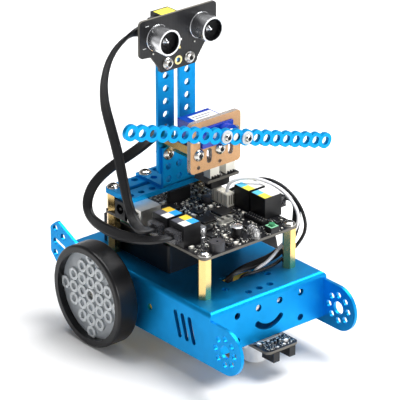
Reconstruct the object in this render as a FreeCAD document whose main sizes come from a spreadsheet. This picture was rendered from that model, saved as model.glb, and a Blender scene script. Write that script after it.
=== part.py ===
import FreeCAD, Part
import math
import os

import Sketcher
from FreeCAD import Rotation, Vector

# A two-wheel drive educational robot with a ball caster, a controller board on brass standoffs, a bracket and
# mast behind it, an ultrasonic head, a small servo with a cross strip, and its flat module cables.
# Frame: +Z up, the front faces -Y, and +X is to the right when the front is looked at along +Y.
# The origin is on the floor, midway between the contact points of the two drive wheels.

doc = FreeCAD.newDocument("classroom_robot")

SIZES = [
    # the 8 mm hole grid and the sheet stock that all the metal parts share
    ("grid", 8.0), ("hole_dia", 4.2), ("plate", 2.0),
    # chassis, a folded channel
    ("front", -91.4), ("chassis_wide", 88.0), ("chassis_long", 127.0), ("deck_top", 48.7),
    ("skirt_low", 16.5), ("front_low", 20.7), ("bend", 3.0), ("ear_y", -12.6), ("ear_z", 30.5),
    ("ear_bore", 8.0), ("ear_pcd", 16.0), ("face_holes_x", 24.0), ("face_low_z", 25.7),
    ("smile_radius", 12.1), ("smile_half", 46.0), ("smile_wide", 3.7), ("smile_z", 40.1),
    ("lip_deep", 22.0), ("fin_reach", 147.0), ("fin_high", 57.2), ("slot_x", 2.0), ("slot_y", 29.0),
    ("slot_wide", 24.0), ("slot_deep", 8.0), ("vent_wide", 3.2), ("vent_long", 13.0), ("spy_y", 54.0), ("spy_z", 33.5),
    # wheels and gearmotors
    ("wheel_dia", 62.4), ("tyre_inner_x", 47.0), ("tyre_outer_x", 61.2), ("hub_radius", 26.8),
    ("hub_face_x", 56.8), ("boss_radius", 3.9), ("boss_bore", 2.1), ("boss_high", 1.0),
    ("axle_radius", 2.7), ("motor_wide", 18.8), ("motor_high", 22.5), ("motor_front", 42.0), ("can_radius", 10.0), ("can_long", 20.0), ("motor_hole_y", 20.5),
    ("motor_hole_z", 8.75),
    # controller board and what stands on it
    ("board_wide", 72.0), ("board_long", 90.0), ("board_y", -75.9), ("board_thick", 1.6), ("board_low", 73.7),
    ("board_hole_x", 32.0), ("board_hole_y", 19.5), ("board_hole_span", 82.0),
    ("jack_long", 12.6), ("jack_wide", 12.8), ("jack_high", 13.5), ("socket_wide", 9.9), ("socket_high", 7.0),
    ("socket_deep", 10.5), ("plug_wide", 9.5), ("plug_high", 6.5), ("plug_in", 10.0), ("plug_out", 5.0),
    ("button_x", 18.0), ("button_y", -72.6), ("button_side", 6.2), ("button_high", 3.6), ("cap_radius", 1.7),
    ("cap_top", 5.2), ("buzzer_x", -21.8), ("buzzer_y", -71.0), ("switch_x", -20.0), ("switch_y", 9.4),
    ("slider_wide", 2.0), ("slider_travel", 2.0),
    # brass hexagon spacers and button-head screws
    ("spacer_across", 7.0), ("spacer_bore", 3.9), ("shank", 3.8), ("head_dia", 7.6), ("head_high", 2.2),
    ("socket_across", 2.5), ("nut_across", 7.0), ("nut_high", 3.0), ("screw_long", 8.0),
    # battery tray
    ("tray_half", 27.8), ("tray_y", -35.4), ("tray_high", 17.0), ("cell_dia", 14.2), ("cell_pitch", 14.8),
    ("cell_long", 50.0),
    # bracket plate, angle bracket and mast
    ("deck_plate", 3.0), ("bracket_y", -9.9), ("bracket_deep", 24.0), ("bracket_top", 89.3),
    ("foot_half", 12.0), ("wall_top", 115.0), ("mast_y", -9.4), ("mast_wide", 12.0), ("mast_low", 98.6),
    ("mast_high", 75.0), ("mast_hole", 102.8),
    # ultrasonic head
    ("head_half", 28.3), ("head_top", 196.4), ("head_low", 174.0), ("neck_half", 14.0), ("tab_low", 162.0),
    ("can_dia", 16.0), ("can_high", 12.0), ("can_x", 15.9), ("can_z", 184.6), ("head_jack_x", -8.2),
    ("head_jack_z", 187.6),
    # servo, its plate and the cross strip
    ("servo_x", 10.6), ("servo_z", 128.6), ("servo_plate_y", -38.4), ("servo_plate", 3.0),
    ("servo_wide", 22.8), ("servo_tall", 12.2), ("servo_front", -40.1), ("servo_deep", 22.7),
    ("shaft_offset", 5.5), ("flange_wide", 32.2), ("flange_thick", 2.4), ("servo_screws_z", 118.8),
    ("servo_spacer_y", -19.4), ("boss_radius_big", 5.9), ("boss_front", -44.4), ("shaft_radius", 2.4),
    ("strip_pitch", 8.0), ("strip_count", 20.0), ("strip_ring", 4.8), ("strip_bore", 2.55),
    ("strip_thick", 2.5), ("strip_y", -50.1), ("strip_tilt", 17.1), ("strip_pivot", 10.0),
    # adapter, line sensor and caster
    ("adapter_x", 12.4), ("adapter_y", -22.4), ("adapter_wide", 24.0), ("adapter_long", 36.5),
    ("line_y", -104.0), ("line_wide", 24.0), ("line_long", 48.0), ("line_top", 19.1), ("line_screw_y", 4.4),
    ("ball_radius", 6.0), ("ball_gap", 0.06), ("caster_y", -79.4), ("caster_radius", 7.8),
    # cables: a flat cable is carried as a round core of the same area of section
    ("flat_core", 4.4), ("lead_core", 2.0),
]

sheet = doc.addObject("Spreadsheet::Sheet", "Sizes")
for row, (alias, amount) in enumerate(SIZES, start=1):
    sheet.set(f"A{row}", alias)
    sheet.set(f"B{row}", str(amount))
    sheet.setAlias(f"B{row}", alias)
doc.recompute()

TURNS = {
    "z": Rotation(),
    "x": Rotation(Vector(0, 1, 0), 90),
    "y": Rotation(Vector(1, 0, 0), -90),
}
nodes = {}


def rule(text):
    """An expression in which # stands for the sheet, such as #front + 2."""
    return str(text).replace("#", "Sizes.")


def size(text):
    """The number that such an expression gives now."""
    result = sheet.evalExpression(rule(text))
    return float(getattr(result, "Value", result))


def node(label, obj):
    """Names a finished sub-part; its label is its file's name."""
    obj.Label = label
    nodes[label] = obj
    return obj


# ---------------------------------------------------------------- primitives and booleans


def put(obj, x, y, z, turn=None):
    if turn is not None:
        obj.Placement = FreeCAD.Placement(Vector(), turn)
    obj.setExpression(".Placement.Base.x", rule(x))
    obj.setExpression(".Placement.Base.y", rule(y))
    obj.setExpression(".Placement.Base.z", rule(z))
    return obj


def block(name, corner, edges):
    box = doc.addObject("Part::Box", name)
    for side, text in zip(("Length", "Width", "Height"), edges):
        box.setExpression(side, rule(text))
    return put(box, *corner)


def rod(name, start, axis, radius, length):
    cylinder = doc.addObject("Part::Cylinder", name)
    cylinder.setExpression("Radius", rule(radius))
    cylinder.setExpression("Height", rule(length))
    return put(cylinder, *start, TURNS[axis])


def cone(name, start, axis, radius, top_radius, length):
    shape = doc.addObject("Part::Cone", name)
    shape.setExpression("Radius1", rule(radius))
    shape.setExpression("Radius2", rule(top_radius))
    shape.setExpression("Height", rule(length))
    return put(shape, *start, TURNS[axis])


def hexagon(name, start, axis, across, length):
    prism = doc.addObject("Part::Prism", name)
    prism.Polygon = 6
    prism.setExpression("Circumradius", rule(f"({across}) / sqrt(3)"))
    prism.setExpression("Height", rule(length))
    return put(prism, *start, TURNS[axis])


def globe(name, centre, radius):
    ball = doc.addObject("Part::Sphere", name)
    ball.setExpression("Radius", rule(radius))
    return put(ball, *centre)


def fuse(name, *parts):
    union = doc.addObject("Part::MultiFuse", name)
    union.Shapes = list(parts)
    return union


def group(name, parts):
    """Separate solids that share one node."""
    compound = doc.addObject("Part::Compound", name)
    compound.Links = list(parts)
    return compound


def cut(name, base, *tools):
    difference = doc.addObject("Part::Cut", name)
    difference.Base = base
    difference.Tool = tools[0] if len(tools) == 1 else fuse(name + "_tools", *tools)
    return difference


# ---------------------------------------------------------------- bodies, sketches and features


def sketch_in(body, name, role, offset="0"):
    """A sketch on one of the body's own planes. XZ_Plane faces -Y, so its offset is minus the y wanted."""
    sketch = body.newObject("Sketcher::SketchObject", name)
    plane = next(item for item in body.Origin.OriginFeatures if item.Role == role)
    sketch.AttachmentSupport = (plane, [""])
    sketch.MapMode = "FlatFace"
    sketch.setExpression(".AttachmentOffset.Base.z", rule(offset))
    return sketch


def tie(sketch, kind, places, text):
    index = sketch.addConstraint(Sketcher.Constraint(kind, *places, size(text)))
    sketch.setExpression(f"Constraints[{index}]", rule(text))


def pin(sketch, geometry, point, x, y):
    tie(sketch, "DistanceX", (-1, 1, geometry, point), x)
    tie(sketch, "DistanceY", (-1, 1, geometry, point), y)


def draw_circle(sketch, x, y, radius):
    circle = Part.Circle(Vector(size(x), size(y), 0), Vector(0, 0, 1), size(radius))
    index = sketch.addGeometry(circle, False)
    pin(sketch, index, 3, x, y)
    tie(sketch, "Radius", (index,), radius)


def draw_polygon(sketch, corners):
    points = [Vector(size(x), size(y), 0) for x, y in corners]
    first = None
    for number, point in enumerate(points):
        following = points[(number + 1) % len(points)]
        index = sketch.addGeometry(Part.LineSegment(point, following), False)
        first = index if first is None else first
        if number:
            sketch.addConstraint(Sketcher.Constraint("Coincident", index - 1, 2, index, 1))
        pin(sketch, index, 1, *corners[number])
    sketch.addConstraint(Sketcher.Constraint("Coincident", index, 2, first, 1))


def draw_box(sketch, low, high):
    draw_polygon(sketch, [low, (high[0], low[1]), high, (low[0], high[1])])


def draw_arc(sketch, x, y, radius, start, end):
    """An arc about x, y from the start angle to the end angle, in degrees."""
    circle = Part.Circle(Vector(size(x), size(y), 0), Vector(0, 0, 1), size(radius))
    arc = Part.ArcOfCircle(circle, math.radians(size(start)), math.radians(size(end)))
    index = sketch.addGeometry(arc, False)
    pin(sketch, index, 3, x, y)
    tie(sketch, "Radius", (index,), radius)
    for point, angle in ((1, start), (2, end)):
        across = abs(math.sin(math.radians(size(angle)))) > 0.7
        kind, middle, part = ("DistanceX", x, "cos") if across else ("DistanceY", y, "sin")
        tie(sketch, kind, (-1, 1, index, point), f"{middle} + ({radius}) * {part}(({angle}) * 1 deg)")
    return index


def join(sketch, *pairs):
    for first, first_end, second, second_end in pairs:
        sketch.addConstraint(Sketcher.Constraint("Coincident", first, first_end, second, second_end))


def draw_slot(sketch, start, end, radius):
    """A slot with round ends between two centres."""
    ax, ay = size(start[0]), size(start[1])
    bx, by = size(end[0]), size(end[1])
    angle = math.degrees(math.atan2(by - ay, bx - ax))
    near = draw_arc(sketch, *start, radius, angle + 90, angle + 270)
    far = draw_arc(sketch, *end, radius, angle - 90, angle + 90)
    ends = [sketch.getPoint(near, 2), sketch.getPoint(far, 1), sketch.getPoint(far, 2), sketch.getPoint(near, 1)]
    low = sketch.addGeometry(Part.LineSegment(ends[0], ends[1]), False)
    high = sketch.addGeometry(Part.LineSegment(ends[2], ends[3]), False)
    join(sketch, (near, 2, low, 1), (low, 2, far, 1), (far, 2, high, 1), (high, 2, near, 1))


def pad(body, sketch, length, back=False, both=False):
    feature = body.newObject("PartDesign::Pad", sketch.Name + "_pad")
    feature.Profile = sketch
    feature.setExpression("Length", rule(length))
    feature.Reversed = back
    feature.Midplane = both
    body.Tip = feature
    return feature


def pocket(body, sketch, length, back=False, both=False):
    """A pocket runs against its sketch's normal, or along it with back."""
    doc.recompute()
    before = body.Shape.Volume
    feature = body.newObject("PartDesign::Pocket", sketch.Name + "_pocket")
    feature.Profile = sketch
    feature.setExpression("Length", rule(length))
    feature.Reversed = back
    feature.Midplane = both
    body.Tip = feature
    doc.recompute()
    if body.Shape.Volume >= before:
        raise RuntimeError(f"{feature.Name} removes nothing")
    return feature


def spin(body, sketch):
    feature = body.newObject("PartDesign::Revolution", sketch.Name + "_spin")
    feature.Profile = sketch
    feature.ReferenceAxis = (sketch, ["V_Axis"])
    feature.Angle = 360
    body.Tip = feature
    return feature


def mirror(body, feature, role):
    plane = next(item for item in body.Origin.OriginFeatures if item.Role == role)
    copy = body.newObject("PartDesign::Mirrored", feature.Name + "_mirror")
    copy.Originals = [feature]
    copy.MirrorPlane = (plane, [""])
    body.Tip = copy
    return copy


def around(body, feature, role, count):
    axis = next(item for item in body.Origin.OriginFeatures if item.Role == role)
    pattern = body.newObject("PartDesign::PolarPattern", feature.Name + "_ring")
    pattern.Originals = [feature]
    pattern.Axis = (axis, [""])
    pattern.Angle = 360
    pattern.Occurrences = count
    body.Tip = pattern
    return pattern


def round_edges(body, radius, wanted):
    """Rounds the edges of the body's last feature for which wanted(middle, direction) holds."""
    doc.recompute()
    base = body.Tip
    names = []
    for number, edge in enumerate(base.Shape.Edges, start=1):
        middle = edge.CenterOfMass
        direction = edge.tangentAt(edge.FirstParameter)
        if edge.Curve.TypeId == "Part::GeomLine" and wanted(middle, direction):
            names.append(f"Edge{number}")
    if not names:
        raise RuntimeError(f"no edge to round on {body.Name}")
    feature = body.newObject("PartDesign::Fillet", base.Name + "_round")
    feature.Base = (base, names)
    feature.setExpression("Radius", rule(radius))
    body.Tip = feature
    doc.recompute()
    return feature


def near(a, b):
    return abs(a - b) < 0.01


def new_body(name):
    return doc.addObject("PartDesign::Body", name)


# ---------------------------------------------------------------- chassis


def make_chassis():
    """One folded sheet: deck, front wall with a lip, and side walls that run on into ears and fins."""
    body = new_body("chassis")
    outline = sketch_in(body, "channel_side", "YZ_Plane")
    draw_box(outline, ("#front", "#skirt_low"), ("#front + #chassis_long", "#deck_top"))
    pad(body, outline, "#chassis_wide", both=True)
    top, front, half = size("#deck_top"), size("#front"), size("#chassis_wide / 2")
    round_edges(body, "#bend", lambda middle, way: near(middle.z, top)
                and (near(middle.y, front) or near(abs(middle.x), half)))

    inner = "#chassis_wide / 2 - #plate"
    hollow = sketch_in(body, "channel_hollow", "XY_Plane", "#skirt_low - 1")
    draw_box(hollow, (f"-({inner})", "#front + #plate"), (inner, "#front + #chassis_long + 1"))
    pocket(body, hollow, "#deck_top - #plate - #skirt_low + 1", back=True)
    under_front = sketch_in(body, "under_front", "XY_Plane", "#skirt_low - 1")
    draw_box(under_front, (f"-({inner})", "#front - 1"), (inner, "#front + #plate + 0.5"))
    pocket(body, under_front, "#front_low - #skirt_low + 1", back=True)
    lip = sketch_in(body, "front_lip", "XY_Plane", "#front_low")
    draw_box(lip, (f"-({inner}) + 4", "#front + 0.5"), (f"{inner} - 4", "#front + #lip_deep"))
    pad(body, lip, "#plate")

    blades = sketch_in(body, "ear_and_fin", "YZ_Plane", inner)
    ear_radius = "#ear_z - #skirt_low"
    arc = draw_arc(blades, "#front + #ear_y", "#ear_z", ear_radius, 90, 270)
    chain = [("#front + #ear_y", "#skirt_low"), ("#front + 5", "#skirt_low"),
             ("#front + 5", f"#ear_z + {ear_radius}"), ("#front + #ear_y", f"#ear_z + {ear_radius}")]
    corners = [Vector(size(x), size(y), 0) for x, y in chain]
    lines = [blades.addGeometry(Part.LineSegment(a, b), False) for a, b in zip(corners, corners[1:])]
    join(blades, (arc, 2, lines[0], 1), (lines[0], 2, lines[1], 1), (lines[1], 2, lines[2], 1),
         (lines[2], 2, arc, 1))
    pin(blades, lines[1], 1, *chain[1])
    pin(blades, lines[1], 2, *chain[2])
    draw_polygon(blades, [
        ("#front + #chassis_long - 9", "#skirt_low"), ("#front + #chassis_long + 2", "#skirt_low"),
        ("#front + #fin_reach - 4.6", "#skirt_low + 14.5"), ("#front + #fin_reach", "#skirt_low + 19.5"),
        ("#front + #fin_reach", "#fin_high - 5.2"), ("#front + #fin_reach - 6.2", "#fin_high"),
        ("#front + #chassis_long - 3.4", "#deck_top + 0.6"), ("#front + #chassis_long - 9", "#deck_top - #bend"),
    ])
    blade_pad = pad(body, blades, "#plate")
    doc.recompute()
    mirror(body, blade_pad, "YZ_Plane")
    fin_tip = size("#front + #fin_reach - 8")
    round_edges(body, "2.5", lambda middle, way: near(abs(way.x), 1) and middle.y > fin_tip)

    sides = sketch_in(body, "side_holes", "YZ_Plane")
    draw_circle(sides, "#front + #ear_y", "#ear_z", "#ear_bore / 2")
    for step in range(8):
        turn = f"{45 * step} * 1 deg"
        draw_circle(sides, f"#front + #ear_y + #ear_pcd / 2 * cos({turn})",
                    f"#ear_z + #ear_pcd / 2 * sin({turn})", "#hole_dia / 2 - 0.1")
    draw_circle(sides, "#front + #spy_y", "#spy_z", "#hole_dia / 2")
    draw_circle(sides, "0", "#wheel_dia / 2", "#axle_radius + 1.3")
    for sign in (-1, 1):
        draw_circle(sides, "-#motor_hole_y", f"#wheel_dia / 2 + {sign} * #motor_hole_z", "1.6")
    fin_hole = "#front + #fin_reach - 4.6"
    draw_circle(sides, fin_hole, "#fin_high - 5.1", "#hole_dia / 2")
    draw_circle(sides, f"{fin_hole} - 7.2", "#fin_high - 8.6", "#hole_dia / 2")
    draw_circle(sides, fin_hole, "#fin_high - 21", "#hole_dia / 2")
    draw_slot(sides, (fin_hole, "#fin_high - 13.4"), (f"{fin_hole} - 8", "#fin_high - 15.8"), "1.9")
    for step in range(3):
        foot = f"#front + 14.5 + {step} * 6.2"
        draw_slot(sides, (foot, "26"), (f"{foot} + 4", "26 + #vent_long"), "#vent_wide / 2")
    pocket(body, sides, "#chassis_wide + 4", both=True)

    face = sketch_in(body, "face_holes", "XZ_Plane", "-#front + 1")
    for sign in (-1, 1):
        for high in ("#face_low_z", "#face_low_z + 2 * #grid"):
            draw_circle(face, f"{sign} * #face_holes_x", high, "#hole_dia / 2")
        draw_circle(face, f"{sign} * #grid", "#face_low_z + 2 * #grid", "#hole_dia / 2")
    wide = "#smile_wide / 2"
    low, high = "270 - #smile_half", "270 + #smile_half"
    draw_arc(face, "0", "#smile_z", f"#smile_radius + {wide}", low, high)
    draw_arc(face, "0", "#smile_z", f"#smile_radius - {wide}", low, high)
    for angle, first, last in ((low, -180, 0), (high, 0, 180)):
        draw_arc(face, f"#smile_radius * cos(({angle}) * 1 deg)",
                 f"#smile_z + #smile_radius * sin(({angle}) * 1 deg)", wide,
                 f"{angle} + {first}", f"{angle} + {last}")
    pocket(body, face, "#plate + 2")

    deck = sketch_in(body, "deck_holes", "XY_Plane", "#deck_top + 1")
    for sign in (-1, 1):
        draw_circle(deck, f"{sign} * #board_hole_x", "#front + #board_hole_y", "#hole_dia / 2")
        draw_circle(deck, f"{sign} * #board_hole_x", "#front + #board_hole_y + #board_hole_span", "#hole_dia / 2")
        draw_circle(deck, f"{sign} * 2 * #grid", "#front + 20", "#hole_dia / 2")
    for column in (-1, 0, 1):
        draw_circle(deck, f"{column} * #grid", "#front + 8.8", "#hole_dia / 2")
        draw_circle(deck, f"{column} * 2 * #grid", "#front + 122", "#hole_dia / 2")
    draw_box(deck, ("#slot_x - #slot_wide / 2", "#front + #slot_y - #slot_deep / 2"),
             ("#slot_x + #slot_wide / 2", "#front + #slot_y + #slot_deep / 2"))
    pocket(body, deck, "#plate + 2")
    lip_holes = sketch_in(body, "lip_holes", "XY_Plane", "#front_low + #plate + 1")
    for sign in (-1, 1):
        draw_circle(lip_holes, f"{sign} * #grid", "#front + #line_screw_y", "1.45")
    pocket(body, lip_holes, "#plate + 2")
    node("chassis", body)


# ---------------------------------------------------------------- screws, nuts and spacers


def screw(name, start, way, length):
    """A button-head screw: its head sits on start and its shank runs along way, an axis with a sign."""
    sign, axis = way[0], way[1]
    towards = 1 if sign == "+" else -1
    begin = list(start)
    head = list(start)
    socket = list(start)
    place = "xyz".index(axis)
    if towards > 0:
        head[place] = f"{start[place]} - #head_high"
        socket[place] = f"{start[place]} - #head_high - 0.5"
    else:
        begin[place] = f"{start[place]} - ({length})"
        socket[place] = f"{start[place]} + #head_high - 1.2"
    radii = ("#head_dia / 2 * 0.62", "#head_dia / 2")
    low, high = radii if towards > 0 else radii[::-1]
    shank = rod(name + "_shank", begin, axis, "#shank / 2", length)
    cap = cone(name + "_cap", head, axis, low, high, "#head_high")
    hole = hexagon(name + "_socket", socket, axis, "#socket_across", "1.7")
    return cut(name, fuse(name + "_solid", shank, cap), hole)


def nut(name, start, axis):
    body = hexagon(name + "_hex", start, axis, "#nut_across", "#nut_high")
    begin = list(start)
    place = "xyz".index(axis)
    begin[place] = f"{start[place]} - 1"
    return cut(name, body, rod(name + "_bore", begin, axis, "#shank / 2 + 0.05", "#nut_high + 2"))


def spacer(name, start, axis, length, stud="0"):
    """A hexagonal brass spacer with a through bore; with stud, its low end carries a male stud."""
    begin = list(start)
    place = "xyz".index(axis)
    bore_from = begin.copy()
    bore_from[place] = f"{start[place]} + 1" if stud != "0" else f"{start[place]} - 1"
    body = hexagon(name + "_hex", start, axis, "#spacer_across", length)
    hollow = cut(name + "_tube", body, rod(name + "_bore", bore_from, axis, "#spacer_bore / 2", f"{length} + 2"))
    if stud == "0":
        return hollow
    begin[place] = f"{start[place]} - ({stud})"
    return fuse(name, hollow, rod(name + "_stud", begin, axis, "#shank / 2", f"{stud} + 0.5"))


def board_corners(rows=(0, 1)):
    for sign in (-1, 1):
        for step in rows:
            yield f"{sign} * #board_hole_x", f"#front + #board_hole_y + {step} * #board_hole_span"


def make_brass_spacers():
    top = "#board_low + #board_thick"
    front, rear = [], []
    for number, (x, y) in enumerate(board_corners()):
        front.append(spacer(f"board_spacer_{number}", (x, y, "#deck_top"), "z", "#board_low - #deck_top"))
    for number, (x, y) in enumerate(board_corners((1,))):
        rear.append(spacer(f"plate_spacer_{number}", (x, y, top), "z", f"#bracket_top - #deck_plate - ({top})", "5"))
    for sign in (-1, 1):
        x, side = f"{sign} * #grid", "right" if sign > 0 else "left"
        rear_length = "#mast_y - #servo_spacer_y"
        rear_end = (x, "#servo_spacer_y", "#servo_screws_z")
        front.append(spacer("servo_spacer_rear_" + side, rear_end, "y", rear_length))
        rear.append(stud_spacer("servo_spacer_front_" + side, x))
    node("hex_spacers", group("hex_spacers", front + rear))


def stud_spacer(name, x):
    """The longer servo spacer, whose rear end carries the stud that enters the shorter one."""
    start = "#servo_plate_y + #servo_plate"
    length = f"#servo_spacer_y - ({start})"
    body = hexagon(name + "_hex", (x, start, "#servo_screws_z"), "y", "#spacer_across", length)
    bore = rod(name + "_bore", (x, f"{start} - 1", "#servo_screws_z"), "y", "#spacer_bore / 2", f"{length} - 1")
    stud = rod(name + "_stud", (x, "#servo_spacer_y - 0.5", "#servo_screws_z"), "y", "#shank / 2", "4")
    return fuse(name, cut(name + "_tube", body, bore), stud)


def make_fasteners():
    """All the equal button-head screws and the nuts on their ends."""
    places = [(x, y, "#deck_top - #plate", "+z") for x, y in board_corners()]
    places += [(x, y, "#board_low + #board_thick", "-z") for x, y in board_corners((0,))]
    rear = "#front + #board_hole_y + #board_hole_span"
    places.append(("-#board_hole_x", rear, "#bracket_top", "-z"))
    places.append(("#board_hole_x", rear, "#bracket_top + #board_thick", "-z"))
    nuts = []
    mast_back = "#mast_y + #plate"
    for sign in (-1, 1):
        x = f"{sign} * #grid"
        places.append((x, rear, "#bracket_top + #plate", "-z"))
        nuts.append((x, rear, "#bracket_top - #deck_plate - #nut_high", "z"))
        places.append((x, "#mast_y - #plate", "#mast_hole + #grid", "+y"))
        nuts.append((x, mast_back, "#mast_hole + #grid", "y"))
        places.append((x, mast_back, "#servo_screws_z", "-y"))
        places.append((x, "#servo_plate_y", "#servo_screws_z", "+y"))
        places.append((x, "#mast_y - #board_thick", "#mast_hole + 8 * #grid", "+y"))
        nuts.append((x, mast_back, "#mast_hole + 8 * #grid", "y"))
    screws = [screw(f"m4_screw_{n}", place[:3], place[3], "#screw_long") for n, place in enumerate(places)]
    node("m4_screws", group("m4_screws", screws))
    rings = [nut(f"m4_nut_{n}", place[:3], place[3]) for n, place in enumerate(nuts)]
    node("m4_nuts", group("m4_nuts", rings))


# ---------------------------------------------------------------- wheels and gearmotors


def axle_turn(side):
    """Turns local +Z outward along the axle of that side."""
    return Rotation(Vector(0, 1, 0), -90 if side == "left" else 90)


def make_wheel(side):
    """Hub, tyre, axle and screw, each built about local Z with its height measured from the robot's middle."""
    hub = new_body(side + "_hub")
    profile = sketch_in(hub, side + "_hub_profile", "XZ_Plane")
    bore, face = "#axle_radius + 0.05", "#hub_face_x"
    draw_polygon(profile, [
        (bore, f"{face} - 12"), ("6", f"{face} - 12"), ("6", f"{face} - 2.5"), ("#hub_radius - 2.3", f"{face} - 2.5"),
        ("#hub_radius - 2.3", "#tyre_inner_x + 0.2"), ("#hub_radius", "#tyre_inner_x + 0.2"), ("#hub_radius", face),
        ("4.4", face), ("4.0", f"{face} + 1.3"), (bore, f"{face} + 1.3"),
    ])
    spin(hub, profile)
    bosses = sketch_in(hub, side + "_hub_bosses", "XY_Plane", f"{face} - 0.2")
    for column in (1, 2, 3):
        for line in range(4 - column):
            x, y = f"{column} * #grid", f"{line} * #grid"
            draw_circle(bosses, x, y, "#boss_radius")
            draw_circle(bosses, x, y, "#boss_bore")
    raised = pad(hub, bosses, "#boss_high + 0.2")
    doc.recompute()
    around(hub, raised, "Z_Axis", 4)
    trim = sketch_in(hub, side + "_hub_trim", "XY_Plane", f"{face} + #boss_high + 1")
    draw_circle(trim, "0", "0", "#hub_radius")
    draw_circle(trim, "0", "0", "#hub_radius + 4")
    pocket(hub, trim, "#boss_high + 1.5")

    tyre = new_body(side + "_tyre")
    profile = sketch_in(tyre, side + "_tyre_profile", "XZ_Plane")
    crown = 1.6
    low, high, outer = "#tyre_inner_x", "#tyre_outer_x", "#wheel_dia / 2"
    lines = [
        (("#hub_radius + 0.05", low), (f"{outer} - {crown}", low)),
        ((outer, f"{low} + {crown}"), (outer, f"{high} - {crown}")),
        ((f"{outer} - {crown}", high), ("#hub_radius + 0.05", high)),
        (("#hub_radius + 0.05", high), ("#hub_radius + 0.05", low)),
    ]
    drawn = []
    for start, end in lines:
        points = [Vector(size(x), size(y), 0) for x, y in (start, end)]
        drawn.append(profile.addGeometry(Part.LineSegment(*points), False))
        pin(profile, drawn[-1], 1, *start)
        pin(profile, drawn[-1], 2, *end)
    draw_arc(profile, f"{outer} - {crown}", f"{low} + {crown}", str(crown), 270, 360)
    draw_arc(profile, f"{outer} - {crown}", f"{high} - {crown}", str(crown), 0, 90)
    spin(tyre, profile)

    for body in (hub, tyre):
        put(body, "0", "0", "#wheel_dia / 2", axle_turn(side))
        node(body.Name, body)

    sign = -1 if side == "left" else 1
    inner, outer_end = "#chassis_wide / 2 - #plate - #motor_wide + 1.5", "#hub_face_x - 1.5"
    start = inner if sign > 0 else f"-({outer_end})"
    shaft = rod(side + "_shaft", (start, "0", "#wheel_dia / 2"), "x", "#axle_radius", f"{outer_end} - ({inner})")
    tap_from = f"{outer_end} - 7" if sign > 0 else f"-({outer_end}) - 1"
    tap = rod(side + "_shaft_tap", (tap_from, "0", "#wheel_dia / 2"), "x", "1.05", "8")
    node(side + "_axle", cut(side + "_axle", shaft, tap))
    head_from = outer_end if sign > 0 else f"-({outer_end}) - 1.4"
    pin_from = f"{outer_end} - 6" if sign > 0 else f"-({outer_end}) - 0.5"
    head = rod(side + "_screw_head", (head_from, "0", "#wheel_dia / 2"), "x", "2.4", "1.4")
    thread = rod(side + "_screw_thread", (pin_from, "0", "#wheel_dia / 2"), "x", "1.0", "6.5")
    slot_from = f"{outer_end} + 0.7" if sign > 0 else f"-({outer_end}) - 1.9"
    slots = [block(side + "_screw_slot_a", (slot_from, "-1.5", "#wheel_dia / 2 - 0.3"), ("1.2", "3", "0.6")),
             block(side + "_screw_slot_b", (slot_from, "-0.3", "#wheel_dia / 2 - 1.5"), ("1.2", "0.6", "3"))]
    solid = fuse(side + "_screw_solid", head, thread)
    node(side + "_wheel_screw", cut(side + "_wheel_screw", solid, *slots))


def make_gearmotor(side):
    """The moulded gearbox case against the side wall and the motor can that plugs into its front end."""
    sign = -1 if side == "left" else 1
    wall = "#chassis_wide / 2 - #plate"
    inner = f"{wall} - #motor_wide" if sign > 0 else f"-({wall})"
    middle_z = "#wheel_dia / 2"
    half = "#motor_high / 2"
    case = block(side + "_case_block", (inner, "-#motor_front", f"{middle_z} - {half}"),
                 ("#motor_wide", "#motor_front", "#motor_high"))
    end = rod(side + "_case_end", (inner, "0", middle_z), "x", half, "#motor_wide")
    bore = rod(side + "_case_bore", (f"{inner} - 1", "0", middle_z), "x", "#axle_radius + 0.05", "#motor_wide + 2")
    holes = [rod(f"{side}_case_hole_{n}", (f"{inner} - 1", "-#motor_hole_y", f"{middle_z} + {n} * #motor_hole_z"),
                 "x", "1.6", "#motor_wide + 2") for n in (-1, 1)]
    can_x = f"{sign} * ({wall} - #motor_wide / 2)"
    recess = rod(side + "_case_recess", (can_x, "-#motor_front - 1", middle_z), "y", "#can_radius - 0.6", "12")
    solid = fuse(side + "_case_solid", case, end)
    node(side + "_gearbox", cut(side + "_gearbox", solid, bore, *holes, recess))
    can = rod(side + "_can_round", (can_x, "-#motor_front - #can_long", middle_z), "y", "#can_radius", "#can_long")
    neck = rod(side + "_can_neck", (can_x, "-#motor_front", middle_z), "y", "#can_radius - 0.8", "10.5")
    shell = fuse(side + "_can_solid", can, neck)
    flats = [block(f"{side}_can_flat_{n}", (f"{can_x} + {n}", "-#motor_front - #can_long - 1",
                                            f"{middle_z} - 12"), ("5", "#can_long + 13", "24")) for n in (7.7, -12.7)]
    node(side + "_motor", cut(side + "_motor", shell, *flats))


def make_motor_fasteners():
    screws, nuts = [], []
    for sign in (-1, 1):
        for step in (-1, 1):
            name = f"motor_{'right' if sign > 0 else 'left'}_{'high' if step > 0 else 'low'}"
            high = f"#wheel_dia / 2 + {step} * #motor_hole_z"
            outside, inside = "#chassis_wide / 2", "#chassis_wide / 2 - 25"
            start = inside if sign > 0 else f"-({outside})"
            shank = rod(name + "_shank", (start, "-#motor_hole_y", high), "x", "1.45", "25")
            head_from = outside if sign > 0 else f"-({outside}) - 1.6"
            head = rod(name + "_head", (head_from, "-#motor_hole_y", high), "x", "2.7", "1.6")
            screws.append(fuse(name + "_screw", shank, head))
            face = "#chassis_wide / 2 - #plate - #motor_wide"
            nut_from = f"{face} - 2.3" if sign > 0 else f"-({face})"
            body = hexagon(name + "_hex", (nut_from, "-#motor_hole_y", high), "x", "5.5", "2.3")
            bore = rod(name + "_bore", (f"{nut_from} - 1", "-#motor_hole_y", high), "x", "1.5", "5")
            nuts.append(cut(name + "_nut", body, bore))
    node("motor_screws", group("motor_screws", screws))
    node("motor_nuts", group("motor_nuts", nuts))


# ---------------------------------------------------------------- battery tray


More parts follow.
